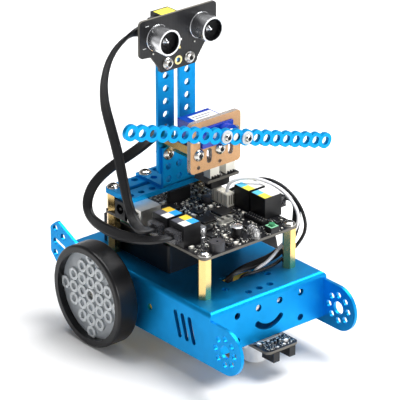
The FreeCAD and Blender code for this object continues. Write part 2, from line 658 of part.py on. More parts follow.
def make_battery():
    """An open moulded tray on the deck with four cells side by side and a contact at each of their ends."""
    half, length = "#tray_half", "4 * #cell_pitch + 2"
    floor = "#deck_top + #tray_high - 15"
    body = new_body("battery_tray")
    outline = sketch_in(body, "tray_outline", "XY_Plane", "#deck_top")
    draw_box(outline, (f"-{half}", "#tray_y"), (half, f"#tray_y + {length}"))
    pad(body, outline, "#tray_high")
    round_edges(body, "2", lambda middle, way: near(abs(way.z), 1))
    trough = sketch_in(body, "tray_trough", "XY_Plane", "#deck_top + #tray_high")
    draw_box(trough, (f"-{half} + 1.4", "#tray_y + 1"), (f"{half} - 1.4", f"#tray_y + {length} - 1"))
    pocket(body, trough, "15")
    ribs = sketch_in(body, "tray_ribs", "XY_Plane", f"{floor} - 0.5")
    for step in (1, 2, 3):
        middle = f"#tray_y + 1 + {step} * #cell_pitch"
        draw_box(ribs, (f"-{half} + 1", f"{middle} - 0.6"), (f"{half} - 1", f"{middle} + 0.6"))
    pad(body, ribs, "3.5")
    node("battery_tray", body)

    cells, contacts = [], []
    for step in range(4):
        y = f"#tray_y + 1 + {step + 0.5} * #cell_pitch"
        z = f"{floor} + #cell_dia / 2 + 0.1"
        forward = 1 if step % 2 else -1
        start = "-#cell_long / 2" if forward > 0 else "-#cell_long / 2 + 1"
        can = rod(f"cell_can_{step}", (start, y, z), "x", "#cell_dia / 2", "#cell_long - 1")
        nub_from = "#cell_long / 2 - 1.5" if forward > 0 else "-#cell_long / 2"
        cells.append(fuse(f"cell_{step}", can, rod(f"cell_nub_{step}", (nub_from, y, z), "x", "2.6", "1.5")))
        for sign in (-1, 1):
            plate_from = "-#tray_half + 1.4" if sign < 0 else "#tray_half - 1.8"
            dome_from = "-#tray_half + 1.6" if sign < 0 else "#cell_long / 2"
            name = f"contact_{step}_{'a' if sign < 0 else 'b'}"
            plate = block(name + "_plate", (plate_from, f"{y} - 5", f"{z} - 5"), ("0.4", "10", "10"))
            dome = rod(name + "_dome", (dome_from, y, z), "x", "2", "#tray_half - 1.6 - #cell_long / 2")
            contacts.append(fuse(name, plate, dome))
    node("battery_cells", group("battery_cells", cells))
    node("battery_contacts", group("battery_contacts", contacts))


# ---------------------------------------------------------------- modular jacks and plugs

TO_LEFT = Rotation(Vector(0, 0, 1), -90)
TO_RIGHT = Rotation(Vector(0, 0, 1), 90)
TO_BACK = Rotation(Vector(0, 0, 1), 180)
HEAD_LEFT = Rotation(Vector(0, 0, 1), Vector(1, 0, 0), Vector(0, 1, 0), "XYZ")


def jack(name, face, turn):
    """A modular socket built with its mouth facing local -Y, centred on the mouth."""
    shell = block(name + "_shell", ("-#jack_wide / 2", "0", "-#jack_high / 2"),
                  ("#jack_wide", "#jack_long", "#jack_high"))
    mouth = block(name + "_mouth", ("-#socket_wide / 2", "-1", "-#socket_high / 2"),
                  ("#socket_wide", "#socket_deep + 1", "#socket_high"))
    latch = block(name + "_latch", ("-2.2", "-1", "-#socket_high / 2 - 1.9"), ("4.4", "#socket_deep - 2", "2.5"))
    return put(cut(name, shell, mouth, latch), *face, turn)


def plug(name, face, turn):
    """A modular plug seated in the jack of the same mouth, with its latch tongue below."""
    body = block(name + "_body", ("-#plug_wide / 2", "-#plug_out", "-#plug_high / 2"),
                 ("#plug_wide", "#plug_in + #plug_out", "#plug_high"))
    tongue = block(name + "_tongue", ("-1.5", "-#plug_out + 1", "-#plug_high / 2 - 1.1"),
                   ("3", "#plug_in - 2", "1.5"))
    return put(fuse(name, body, tongue), *face, turn)


JACK_Z = "#board_low + #board_thick + #jack_high / 2"
MOUTHS = {
    "left_front": (("-35.6", "-51.75", JACK_Z), TO_LEFT),
    "left_rear": (("-36", "-37.1", JACK_Z), TO_LEFT),
    "right_front": (("37.4", "-52.5", JACK_Z), TO_RIGHT),
    "right_rear": (("37.4", "-38.1", JACK_Z), TO_RIGHT),
    "head": (("#head_jack_x", "#mast_y + #jack_high / 2", "#head_jack_z"), HEAD_LEFT),
    "adapter": (("21.7", "#adapter_y + #adapter_long - 0.5", "#bracket_top + #board_thick + #jack_high / 2"),
                TO_BACK),
    "line": (("0", "#line_y + #line_long - 0.4", "#line_top + #jack_high / 2"), TO_BACK),
}


def make_jacks():
    node("module_jacks", group("module_jacks", [jack("jack_" + key, *place) for key, place in MOUTHS.items()]))
    taken = [key for key in MOUTHS if key != "right_rear"]
    node("cable_plugs", group("cable_plugs", [plug("plug_" + key, *MOUTHS[key]) for key in taken]))


# ---------------------------------------------------------------- controller board

BOARD_TOP = "#board_low + #board_thick"

# small soldered parts: middle x, middle y, length along x, length along y, height
SMALL_PARTS = [
    (13.0, -35.2, 10.0, 10.0, 1.5), (-2.0, -37.0, 9.0, 9.0, 1.4), (5.4, -46.0, 10.8, 4.4, 3.2),
    (21.0, -54.9, 5.0, 17.0, 2.6), (-10.0, -47.0, 7.0, 5.0, 1.6), (-13.5, -56.0, 4.0, 6.0, 1.5),
    (15.6, -17.4, 6.5, 6.5, 4.0), (2.0, -27.0, 5.0, 4.0, 1.5), (-12.0, -31.0, 6.0, 4.0, 1.5),
    (-13.6, -70.5, 3.0, 5.0, 2.0), (28.0, -66.5, 4.0, 2.0, 1.2), (10.0, -58.0, 2.0, 4.0, 1.2),
    (-8.0, -12.0, 10.0, 8.0, 2.0), (5.0, -5.0, 16.0, 2.6, 8.0),
]
# upright round parts: x, y, radius, height
ROUND_PARTS = [(-1.7, -65.1, 3.4, 6.9), (-17.5, -38.5, 3.0, 6.5), (-18.0, -52.5, 3.0, 6.5)]
LEDS = [(5.5, -72.9), (7.3, -67.2)]


def make_board():
    body = new_body("controller_board")
    outline = sketch_in(body, "board_outline", "XY_Plane", "#board_low")
    draw_box(outline, ("-#board_wide / 2", "#board_y"), ("#board_wide / 2", "#board_y + #board_long"))
    pad(body, outline, "#board_thick")
    round_edges(body, "3", lambda middle, way: near(abs(way.z), 1))
    holes = sketch_in(body, "board_holes", "XY_Plane", "#board_low - 1")
    for x, y in board_corners():
        draw_circle(holes, x, y, "#hole_dia / 2")
    pocket(body, holes, "#board_thick + 2", back=True)
    node("controller_board", body)

    parts = []
    for number, (x, y, along_x, along_y, high) in enumerate(SMALL_PARTS):
        corner = (f"{x} - {along_x} / 2", f"{y} - {along_y} / 2", BOARD_TOP)
        parts.append(block(f"chip_{number}", corner, (str(along_x), str(along_y), str(high))))
    for number, (x, y, radius, high) in enumerate(ROUND_PARTS):
        parts.append(rod(f"capacitor_{number}", (str(x), str(y), BOARD_TOP), "z", str(radius), str(high)))
    for number, (x, y) in enumerate(LEDS):
        stem = rod(f"led_stem_{number}", (str(x), str(y), BOARD_TOP), "z", "2.5", "3.4")
        dome = globe(f"led_dome_{number}", (str(x), str(y), f"{BOARD_TOP} + 3.4"), "2.45")
        parts.append(fuse(f"led_{number}", stem, dome))
    node("board_components", group("board_components", parts))

    can = rod("buzzer_can", ("#buzzer_x", "#buzzer_y", BOARD_TOP), "z", "4.6", "5.3")
    sound_hole = rod("buzzer_hole", ("#buzzer_x", "#buzzer_y", f"{BOARD_TOP} + 3"), "z", "0.8", "4")
    node("buzzer", cut("buzzer", can, sound_hole))

    shell = block("usb_shell", ("-37.3", "-21.9", BOARD_TOP), ("14.8", "12.5", "11"))
    cavity = block("usb_cavity", ("-38.3", "-19.85", f"{BOARD_TOP} + 1.6"), ("10", "8.4", "7.8"))
    tongue = block("usb_tongue", ("-36.3", "-18.45", f"{BOARD_TOP} + 3.9"), ("10", "5.6", "3.2"))
    node("usb_socket", fuse("usb_socket", cut("usb_hollow", shell, cavity), tongue))

    shell = block("power_shell", ("-38", "-7.9", BOARD_TOP), ("14", "9", "11"))
    bore = rod("power_bore", ("-39", "-3.4", f"{BOARD_TOP} + 6.2"), "x", "3.1", "10")
    pin_rod = rod("power_pin", ("-37.5", "-3.4", f"{BOARD_TOP} + 6.2"), "x", "1", "9")
    node("power_jack", fuse("power_jack", cut("power_hollow", shell, bore), pin_rod))

    plugs = []
    for number, y in enumerate(("-31.4", "-23.9")):
        plugs.append(block(f"motor_plug_{number}", ("20", y, BOARD_TOP), ("5.4", "7", "8")))
    node("motor_connectors", group("motor_connectors", plugs))


def make_controls():
    """The push button with its cap, and the power switch with its slider."""
    half = "#button_side / 2"
    base = block("button_block", (f"#button_x - {half}", f"#button_y - {half}", BOARD_TOP),
                 ("#button_side", "#button_side", "#button_high"))
    well = rod("button_well", ("#button_x", "#button_y", f"{BOARD_TOP} + 1"), "z", "#cap_radius + 0.08", "5")
    node("button_base", cut("button_base", base, well))
    node("button_cap", rod("button_cap", ("#button_x", "#button_y", f"{BOARD_TOP} + 1.4"), "z", "#cap_radius",
                           "#cap_top - 1.4"))
    body = block("switch_block", ("#switch_x - 4.3", "#switch_y", BOARD_TOP), ("8.6", "4", "3.6"))
    run = "#slider_wide + #slider_travel + 0.2"
    slot = block("switch_slot", (f"#switch_x - ({run}) / 2", "#switch_y + 1.8", f"{BOARD_TOP} + 0.9"),
                 (run, "3", "1.8"))
    node("power_switch", cut("power_switch", body, slot))
    start = "#switch_x - (#slider_wide + #slider_travel) / 2"
    node("switch_slider", block("switch_slider", (start, "#switch_y + 1.9", f"{BOARD_TOP} + 1"),
                                ("#slider_wide", "4.6", "1.6")))


# ---------------------------------------------------------------- plate, bracket and mast


def make_mast():
    body = new_body("bracket_plate")
    outline = sketch_in(body, "plate_outline", "XY_Plane", "#bracket_top - #deck_plate")
    draw_box(outline, ("-#board_wide / 2", "#bracket_y"), ("#board_wide / 2", "#bracket_y + #bracket_deep"))
    pad(body, outline, "#deck_plate")
    round_edges(body, "3", lambda middle, way: near(abs(way.z), 1))
    holes = sketch_in(body, "plate_holes", "XY_Plane", "#bracket_top - #deck_plate - 1")
    for column in range(-4, 5):
        for row in ("#bracket_y + 4", "#bracket_y + 20"):
            draw_circle(holes, f"{column} * #grid", row, "#hole_dia / 2")
    for sign in (-1, 1):
        low, high = sorted((sign * 12, sign * 28))
        draw_slot(holes, (str(low), "#bracket_y + 12"), (str(high), "#bracket_y + 12"), "#hole_dia / 2 - 0.1")
    draw_circle(holes, "0", "#bracket_y + 12", "#hole_dia / 2")
    pocket(body, holes, "#deck_plate + 2", back=True)
    node("bracket_plate", body)

    body = new_body("angle_bracket")
    profile = sketch_in(body, "bracket_profile", "YZ_Plane")
    wall_front, foot_back = "#mast_y - #plate", "#bracket_y + #bracket_deep"
    draw_polygon(profile, [
        (wall_front, "#bracket_top"), (foot_back, "#bracket_top"), (foot_back, "#bracket_top + #plate"),
        ("#mast_y", "#bracket_top + #plate"), ("#mast_y", "#wall_top"), (wall_front, "#wall_top"),
    ])
    pad(body, profile, "2 * #foot_half", both=True)
    low = size("#bracket_top")
    front = size(wall_front)
    round_edges(body, "2.5", lambda middle, way: near(abs(way.x), 1) and near(middle.z, low)
                and near(middle.y, front))
    face = sketch_in(body, "bracket_face_holes", "XZ_Plane", "-#mast_y + #plate + 1")
    foot = sketch_in(body, "bracket_foot_holes", "XY_Plane", "#bracket_top + #plate + 1")
    for column in (-1, 0, 1):
        for row in (-1, 0, 1):
            draw_circle(face, f"{column} * #grid", f"#mast_hole + {row} * #grid", "#hole_dia / 2")
        for row in ("#bracket_y + 12", "#bracket_y + 20"):
            draw_circle(foot, f"{column} * #grid", row, "#hole_dia / 2")
    pocket(body, face, "#plate + 2")
    pocket(body, foot, "#plate + 2")
    node("angle_bracket", body)

    beams = []
    for sign in (-1, 1):
        name = "mast_beam_right" if sign > 0 else "mast_beam_left"
        body = new_body(name)
        outline = sketch_in(body, name + "_outline", "XZ_Plane", "-#mast_y")
        middle = f"{sign} * #grid"
        draw_box(outline, (f"{middle} - #mast_wide / 2", "#mast_low"),
                 (f"{middle} + #mast_wide / 2", "#mast_low + #mast_high"))
        pad(body, outline, "#plate", back=True)
        round_edges(body, "2", lambda point, way: near(abs(way.y), 1))
        holes = sketch_in(body, name + "_holes", "XZ_Plane", "-#mast_y + 1")
        for row in range(9):
            draw_circle(holes, middle, f"#mast_hole + {row} * #grid", "#hole_dia / 2")
        pocket(body, holes, "#plate + 2")
        beams.append(body)
    node("mast_beams", group("mast_beams", beams))


def make_head():
    """The ultrasonic ranger: its board across the mast's top and the two transducer cans."""
    body = new_body("sensor_board")
    front = "#mast_y - #board_thick"
    outline = sketch_in(body, "head_outline", "XZ_Plane", f"-({front})")
    draw_polygon(outline, [
        ("-#neck_half", "#tab_low"), ("#neck_half", "#tab_low"), ("#neck_half", "165"), ("20", "#head_low - 0.7"),
        ("#head_half", "#head_low"), ("#head_half", "#head_top"), ("-#head_half", "#head_top"),
        ("-#head_half", "#head_low"), ("-20", "#head_low - 0.7"), ("-#neck_half", "165"),
    ])
    pad(body, outline, "#board_thick", back=True)
    half, low = size("#head_half"), size("#tab_low")
    round_edges(body, "2.5", lambda middle, way: near(abs(way.y), 1) and (near(abs(middle.x), half)
                                                                         or near(middle.z, low)))
    holes = sketch_in(body, "head_holes", "XZ_Plane", f"-({front}) + 1")
    for column, radius in ((-1, "#hole_dia / 2"), (0, "1.6"), (1, "#hole_dia / 2")):
        draw_circle(holes, f"{column} * #grid", "#mast_hole + 8 * #grid", radius)
    pocket(body, holes, "#board_thick + 2")
    node("sensor_board", body)
    cans = []
    for sign in (-1, 1):
        name = "can_right" if sign > 0 else "can_left"
        place = (f"{sign} * #can_x", f"{front} - #can_high", "#can_z")
        can = rod(name + "_shell", place, "y", "#can_dia / 2", "#can_high")
        place = (place[0], f"{front} - #can_high - 1", "#can_z")
        cans.append(cut(name, can, rod(name + "_mouth", place, "y", "#can_dia / 2 - 1.3", "2")))
    node("sensor_cans", group("sensor_cans", cans))


# ---------------------------------------------------------------- servo and cross strip

ARM_TURN = Rotation(Vector(0, 1, 0), size("#strip_tilt")).multiply(TURNS["y"])


def on_arm(obj):
    """Places a part built about local Z on the servo's axis, its zero on the strip's front face."""
    return put(obj, "#servo_x", "#strip_y", "#servo_z", ARM_TURN)


def make_servo():
    body = new_body("servo_plate")
    outline = sketch_in(body, "servo_plate_outline", "XZ_Plane", "-#servo_plate_y")
    draw_box(outline, ("-14", "107.7"), ("23.5", "139"))
    pad(body, outline, "#servo_plate", back=True)
    round_edges(body, "2.5", lambda middle, way: near(abs(way.y), 1))
    holes = sketch_in(body, "servo_plate_holes", "XZ_Plane", "-#servo_plate_y + 1")
    left = "#servo_x + #shaft_offset - #servo_wide + 0.3"
    draw_box(holes, (f"{left} - 0.3", "#servo_z - #servo_tall / 2 - 0.2"),
             (f"{left} + #servo_wide + 0.8", "#servo_z + #servo_tall / 2 + 0.2"))
    for sign in (-1, 1):
        draw_circle(holes, f"{sign} * #grid", "#servo_screws_z", "#hole_dia / 2")
        draw_circle(holes, f"{sign} * #grid", "#servo_screws_z - #grid", "1.2")
        draw_circle(holes, f"#servo_x - #shaft_offset + {sign} * 14", "#servo_z", "1.1")
    draw_slot(holes, ("0", "113.8"), ("0", "119"), "1.9")
    draw_slot(holes, ("16", "114.8"), ("16", "118.4"), "1.9")
    pocket(body, holes, "#servo_plate + 2")
    node("servo_plate", body)

    middle = "#servo_x - #shaft_offset"
    bottom = "#servo_z - #servo_tall / 2"
    case = block("servo_block", (f"{middle} - #servo_wide / 2", "#servo_front", bottom),
                 ("#servo_wide", "#servo_deep", "#servo_tall"))
    flange_y = "#servo_plate_y + #servo_plate"
    flange = block("servo_flange", (f"{middle} - #flange_wide / 2", flange_y, bottom),
                   ("#flange_wide", "#flange_thick", "#servo_tall"))
    boss = rod("servo_boss", ("#servo_x", "#boss_front", "#servo_z"), "y", "#boss_radius_big", "6")
    small = rod("servo_small_boss", ("#servo_x - 6.2", "#boss_front", "#servo_z"), "y", "2.8", "6")
    bore = rod("servo_bore", ("#servo_x", "#boss_front - 1", "#servo_z"), "y", "#shaft_radius + 0.05", "13.5")
    cuts, screws = [bore], []
    for sign in (-1, 1):
        x = f"{middle} + {sign} * 14"
        side = "right" if sign > 0 else "left"
        cuts.append(rod("servo_hole_" + side, (x, f"{flange_y} - 1", "#servo_z"), "y", "1.1", "6"))
        shank = rod("servo_screw_shank_" + side, (x, "#servo_plate_y", "#servo_z"), "y", "0.95", "8")
        head = rod("servo_screw_head_" + side, (x, "#servo_plate_y - 1.4", "#servo_z"), "y", "1.9", "1.4")
        screws.append(fuse("servo_screw_" + side, shank, head))
    node("servo_case", cut("servo_case", fuse("servo_solid", case, flange, boss, small), *cuts))
    node("servo_screws", group("servo_screws", screws))


def make_arm():
    """What turns with the servo's output: shaft, horn, cross strip and the screws that hold them."""
    body = new_body("cross_strip")
    first = "-#strip_pivot * #strip_pitch"
    ring = sketch_in(body, "strip_rings", "XY_Plane")
    draw_circle(ring, first, "0", "#strip_ring")
    rings = pad(body, ring, "#strip_thick")
    bores = sketch_in(body, "strip_bores", "XY_Plane", "#strip_thick")
    draw_circle(bores, first, "0", "#strip_bore")
    holes = pocket(body, bores, "#strip_thick")
    for feature, sketch in ((rings, ring), (holes, bores)):
        row = body.newObject("PartDesign::LinearPattern", feature.Name + "_row")
        row.Originals = [feature]
        row.Direction = (sketch, ["H_Axis"])
        row.Length = size("(#strip_count - 1) * #strip_pitch")
        row.setExpression("Length", rule("(#strip_count - 1) * #strip_pitch"))
        row.Occurrences = int(size("#strip_count"))
        body.Tip = row
        doc.recompute()
    node("cross_strip", on_arm(body))

    hub_low = "#strip_thick"
    hub_top = "#boss_front - #strip_y - 0.3"
    shaft = rod("shaft_round", ("0", "0", f"{hub_low} + 0.8"), "z", "#shaft_radius",
                f"{hub_top} + 12 - {hub_low} - 0.8")
    tap = rod("shaft_tap", ("0", "0", "0"), "z", "0.95", f"{hub_low} + 9")
    node("servo_shaft", on_arm(cut("servo_shaft", shaft, tap)))

    hub = rod("horn_hub", ("0", "0", hub_low), "z", "3.6", f"{hub_top} - {hub_low}")
    arm = block("horn_arm", ("-13", "-2.3", hub_low), ("26", "4.6", "1.6"))
    tips = [rod(f"horn_tip_{n}", (f"{n} * 13", "0", hub_low), "z", "2.3", "1.6") for n in (-1, 1)]
    shaft_bore = rod("horn_bore", ("0", "0", f"{hub_low} + 0.8"), "z", "#shaft_radius", "8")
    screw_bore = rod("horn_screw_bore", ("0", "0", "0"), "z", "1.1", "8")
    arm_bores = [rod(f"horn_arm_bore_{n}", (f"{n} * #strip_pitch", "0", f"{hub_low} - 1"), "z", "1.25", "4")
                 for n in (-1, 1)]
    solid = fuse("horn_solid", hub, arm, *tips)
    node("servo_horn", on_arm(cut("servo_horn", solid, shaft_bore, screw_bore, *arm_bores)))

    head = rod("horn_screw_head", ("0", "0", f"{hub_low} - 1.6"), "z", "2.2", "1.6")
    thread = rod("horn_screw_thread", ("0", "0", f"{hub_low} - 0.5"), "z", "0.9", "8")
    node("horn_screw", on_arm(fuse("horn_screw", head, thread)))
    screws, washers = [], []
    for sign in (-1, 1):
        x = f"{sign} * #strip_pitch"
        side = "right" if sign > 0 else "left"
        disc = rod("washer_disc_" + side, (x, "0", "-0.8"), "z", "3.9", "0.8")
        hole = rod("washer_hole_" + side, (x, "0", "-2"), "z", "1.3", "3")
        washers.append(cut("strip_washer_" + side, disc, hole))
        head = rod("strip_screw_head_" + side, (x, "0", "-2.6"), "z", "2.3", "1.8")
        shank = rod("strip_screw_shank_" + side, (x, "0", "-1"), "z", "1.15", "#strip_thick + 3.4")
        screws.append(fuse("strip_screw_" + side, head, shank))
    node("strip_washers", on_arm(group("strip_washers", washers)))
    node("strip_screws", on_arm(group("strip_screws", screws)))


# ---------------------------------------------------------------- adapter, line sensor and caster


def make_adapter():
    body = new_body("adapter_board")
    outline = sketch_in(body, "adapter_outline", "XY_Plane", "#bracket_top")
    draw_box(outline, ("#adapter_x", "#adapter_y"), ("#adapter_x + #adapter_wide", "#adapter_y + #adapter_long"))
    pad(body, outline, "#board_thick")
    hole = sketch_in(body, "adapter_hole", "XY_Plane", "#bracket_top - 1")
    draw_circle(hole, "#board_hole_x", "#front + #board_hole_y + #board_hole_span", "#hole_dia / 2")
    pocket(body, hole, "#board_thick + 2", back=True)
    node("adapter_board", body)
    shells = []
    top = "#bracket_top + #board_thick"
    for number, x in enumerate(("16", "28")):
        shell = block(f"header_shell_{number}", (x, "#adapter_y + 2", top), ("7", "5.8", "8.5"))
        cavity = block(f"header_cavity_{number}", (f"{x} + 0.8", "#adapter_y + 2.8", f"{top} + 2"),
                       ("5.4", "4.2", "8"))
        shells.append(cut(f"header_{number}", shell, cavity))
    node("adapter_headers", group("adapter_headers", shells))


def make_line_sensor():
    """The board under the front lip, its two looking-down eyes and the brass inserts that space it."""
    body = new_body("line_board")
    low = "#line_top - #board_thick"
    outline = sketch_in(body, "line_outline", "XY_Plane", low)
    draw_box(outline, ("-#line_wide / 2", "#line_y"), ("#line_wide / 2", "#line_y + #line_long"))
    pad(body, outline, "#board_thick")
    round_edges(body, "3", lambda middle, way: near(abs(way.z), 1))
    holes = sketch_in(body, "line_holes", "XY_Plane", f"{low} - 1")
    inserts, screws = [], []
    gap = "#front_low - #line_top"
    for sign in (-1, 1):
        side = "right" if sign > 0 else "left"
        x, y = f"{sign} * #grid", "#front + #line_screw_y"
        draw_circle(holes, x, y, "1.35")
        body_hex = hexagon("line_insert_hex_" + side, (x, y, "#line_top"), "z", "5", gap)
        hole = rod("line_insert_bore_" + side, (x, y, "#line_top - 1"), "z", "1.25", "5")
        inserts.append(cut("line_insert_" + side, body_hex, hole))
        shank = rod("line_shank_" + side, (x, y, low), "z", "1.2", f"#front_low + #plate - ({low})")
        head = rod("line_head_" + side, (x, y, "#front_low + #plate"), "z", "2.2", "1.4")
        screws.append(fuse("line_screw_" + side, shank, head))
        x, y = f"{sign} * 9.4", "#caster_y + 3.8"
        draw_circle(holes, x, y, "1.35")
        body_hex = hexagon("caster_insert_hex_" + side, (x, y, "#line_top"), "z", "4.4", gap)
        hole = rod("caster_insert_bore_" + side, (x, y, "#line_top - 1"), "z", "1.25", "5")
        inserts.append(cut("caster_insert_" + side, body_hex, hole))
        shank = rod("caster_shank_" + side, (x, y, f"{low} - 2"), "z", "1.2", "5.2")
        head = rod("caster_head_" + side, (x, y, f"{low} - 3.3"), "z", "2.1", "1.3")
        screws.append(fuse("caster_screw_" + side, shank, head))
    pocket(body, holes, "#board_thick + 2", back=True)
    node("line_board", body)
    node("line_inserts", group("line_inserts", inserts))
    node("line_screws", group("line_screws", screws))
    eyes = [block(f"line_eye_{n}", (f"{n} * 6 - 1.7", "#line_y - 0.4", f"{low} - 6"), ("4.5", "10.2", "6"))
            for n in (-1, 1)]
    node("line_eyes", group("line_eyes", eyes))


def make_caster():
    low = "#line_top - #board_thick"
    flange = block("caster_flange", ("-13", "#caster_y - 6", f"{low} - 2"), ("26", "12", "2"))
    dome = cone("caster_dome", ("0", "#caster_y", "3"), "z", "#caster_radius - 0.9", "#caster_radius",
                f"{low} - 2 - 3")
    pocket_ball = globe("caster_pocket", ("0", "#caster_y", "#ball_radius"), "#ball_radius + #ball_gap")
    holes = [rod(f"caster_hole_{n}", (f"{n} * 9.4", "#caster_y + 3.8", f"{low} - 3"), "z", "1.35", "4")
             for n in (-1, 1)]
    node("caster_housing", cut("caster_housing", fuse("caster_solid", flange, dome), pocket_ball, *holes))
    node("caster_ball", globe("caster_ball", ("0", "#caster_y", "#ball_radius"), "#ball_radius"))


# ---------------------------------------------------------------- cables

# the points each cable runs through, from its first plug to its last
ROUTES = {
    "sensor_cable": ("#flat_core", [
        (-13.2, -2.65, 187.6), (-19.5, -2.65, 187.6), (-27.5, 1.5, 184.4), (-33, 8.8, 173), (-35, 13.6, 157.5),
        (-35.7, 12.8, 142.5), (-35.3, 7.6, 129), (-36.3, 0.5, 116.8), (-39, -8, 101.5), (-42, -16, 91),
        (-45.5, -25, 84.6), (-47.6, -33, 82.05), (-45.6, -37.1, 82.05), (-41, -37.1, 82.05),
    ]),
    "adapter_cable": ("#flat_core", [
        (-40.6, -51.75, 82.05), (-45, -51.75, 82.05), (-48, -45, 79.4), (-49.4, -32, 76.2), (-49.8, -17, 73.4),
        (-49.2, -1.4, 72.6), (-48.6, 11, 74.2), (-46.2, 17.6, 81), (-41.5, 16.8, 92), (-33, 10.5, 102.5),
        (-23, 3, 110.5), (-12, 0.4, 117), (1, 4.2, 119.8), (13, 13, 117.5), (19.6, 22, 111.5),
        (21.7, 29.4, 103.5), (21.7, 28.4, 97.65), (21.7, 18.6, 97.65),
    ]),
    "line_cable": ("#flat_core", [
        (42.4, -52.5, 82.05), (47.6, -52.5, 82.05), (49.6, -58.6, 77.6), (46, -62.6, 68), (40, -62.8, 58.5),
        (30, -62.2, 52.6), (17, -61.6, 51.4), (4, -61.6, 51.4), (-3.6, -61.7, 50), (-6, -61, 43),
        (-7.4, -49, 40), (-6.6, -36, 40), (-4.4, -28.4, 35), (-1.6, -29.6, 27.2), (0, -37.4, 25.85),
        (0, -51.4, 25.85),
    ]),
    "white_lead": ("#lead_core", [
        (22.6, -27.9, 83.3), (22.6, -27.9, 88), (27, -31.4, 91.8), (35, -38.4, 92.4), (40.4, -49, 90.4),
        (42.6, -60.4, 85.4), (42.4, -68.8, 78), (39.8, -70.2, 69.8), (33, -65.6, 60.6), (22, -65.6, 52.6),
        (12.8, -65.2, 50.4), (8.8, -64.8, 45), (13.4, -66.8, 35.6), (21, -73.4, 32.2), (28.6, -74, 32),
        (32.6, -69.4, 32), (32.6, -62, 32),
    ]),
    "black_lead": ("#lead_core", [
        (25.4, -20.4, 79), (30.4, -20.4, 79), (36, -24.4, 83), (40.4, -32, 88.2), (43.6, -43, 90.6),
        (46.4, -55, 87.2), (48, -65, 78.4), (46.8, -71, 67.8), (42, -68.4, 57.8), (33, -65.8, 51.4),
        (23, -68.2, 50.2), (8, -68.4, 50.2), (3.4, -65.6, 50.2), (-0.8, -64.8, 45.4), (-3.6, -67, 37.8),
        (-10.6, -72, 33.2), (-20, -75.2, 32), (-28.6, -74, 32), (-32.6, -69.4, 32), (-32.6, -62, 32),
    ]),
}


def cable(name, core, route):
    """A round solid along straight runs joined by arcs tangent to both neighbours."""
    radius = size(core) / 2
    points = [Vector(*place) for place in route]
    edges, radii = [], []
    here = points[0]
    for before, corner, after in zip(points, points[1:], points[2:]):
        back = (before - corner).normalize()
        ahead = (after - corner).normalize()
        half_turn = (math.pi - back.getAngle(ahead)) / 2
        trim = 0.45 * min((before - corner).Length, (after - corner).Length)
        bend = trim / math.tan(half_turn)
        start, end = corner + back * trim, corner + ahead * trim
        centre = corner + (back + ahead).normalize() * (bend / math.cos(half_turn))
        middle = centre + (corner - centre).normalize() * bend
        edges.append(Part.LineSegment(here, start).toShape())
        edges.append(Part.Arc(start, middle, end).toShape())
        radii.append(bend)
        here = end
    edges.append(Part.LineSegment(here, points[-1]).toShape())
    path = Part.Wire(edges)
    section = Part.Wire([Part.Circle(points[0], points[1] - points[0], radius).toShape()])
    shape = path.makePipeShell([section], True, False)
    expected = math.pi * radius ** 2 * path.Length
    ratio = shape.Volume / expected
    print(f"{name}: length {path.Length:.1f}, smallest bend {min(radii):.1f}, volume {ratio:.3f}")
    print("  bends " + " ".join(f"{bend:.1f}" for bend in radii))
    obj = doc.addObject("Part::Feature", name)
    obj.Shape = shape
    obj.Placement = FreeCAD.Placement()
    return node(name, obj)


# ---------------------------------------------------------------- build, check and write

make_chassis()
make_brass_spacers()
make_fasteners()
for side in ("left", "right"):
    make_wheel(side)
    make_gearmotor(side)
make_motor_fasteners()
make_battery()
make_board()
make_controls()
make_jacks()
make_mast()
make_head()
make_servo()
make_arm()
make_adapter()
make_line_sensor()
make_caster()
for label, (core, route) in ROUTES.items():
    cable(label, core, route)
doc.recompute()

faults = [f"{item.Name}: {item.State}" for item in doc.Objects if {"Invalid", "Error"} & set(item.State)]
for label, item in nodes.items():
    if item.Shape.isNull() or not item.Shape.isValid():
        faults.append(f"{label}: its shape is null or not valid")
if faults:
    raise RuntimeError("; ".join(faults))

os.makedirs("parts", exist_ok=True)
for label, item in nodes.items():
    item.Shape.exportStep(f"parts/{label}.step")
print(f"{len(nodes)} sub-parts written")
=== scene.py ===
import math
import random

import bmesh
import bpy
from mathutils import Matrix, Vector


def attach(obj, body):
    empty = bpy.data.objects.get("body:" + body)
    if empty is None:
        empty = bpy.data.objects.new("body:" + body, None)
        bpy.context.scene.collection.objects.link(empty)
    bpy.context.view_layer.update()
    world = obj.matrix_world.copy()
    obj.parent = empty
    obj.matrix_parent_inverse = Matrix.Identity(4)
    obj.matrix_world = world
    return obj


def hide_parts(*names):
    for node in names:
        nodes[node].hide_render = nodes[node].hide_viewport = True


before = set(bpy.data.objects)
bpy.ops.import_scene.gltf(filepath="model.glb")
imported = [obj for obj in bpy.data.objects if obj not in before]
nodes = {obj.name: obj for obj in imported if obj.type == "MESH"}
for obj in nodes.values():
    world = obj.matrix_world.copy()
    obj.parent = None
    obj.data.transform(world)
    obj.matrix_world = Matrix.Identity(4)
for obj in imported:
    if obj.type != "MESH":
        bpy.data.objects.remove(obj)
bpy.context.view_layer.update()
MM = 0.001

# heights and places of the frame that the pieces below stand on, in millimetres
BOARD_TOP = 75.3
DECK_UNDERSIDE = 46.7
PLATE_TOP = 89.3
BRACKET_FOOT_TOP = 91.3
ADAPTER_TOP = 90.9
LINE_TOP = 19.1
JACK_TOP = 88.8
SERVO_TOP = 134.7
AXLE_HEIGHT = 31.2
HUB_FACE = 56.85
HEAD_FACE = -11.0
HEAD_HOLE = 166.8
CAN_HEIGHT = 184.6
SCREW_COLUMNS = (-8, 8)
REAR, FRONT = 10.1, -71.9


def mm(*values):
    return tuple(value * MM for value in values)


# ---------------------------------------------------------------- camera, floor and light


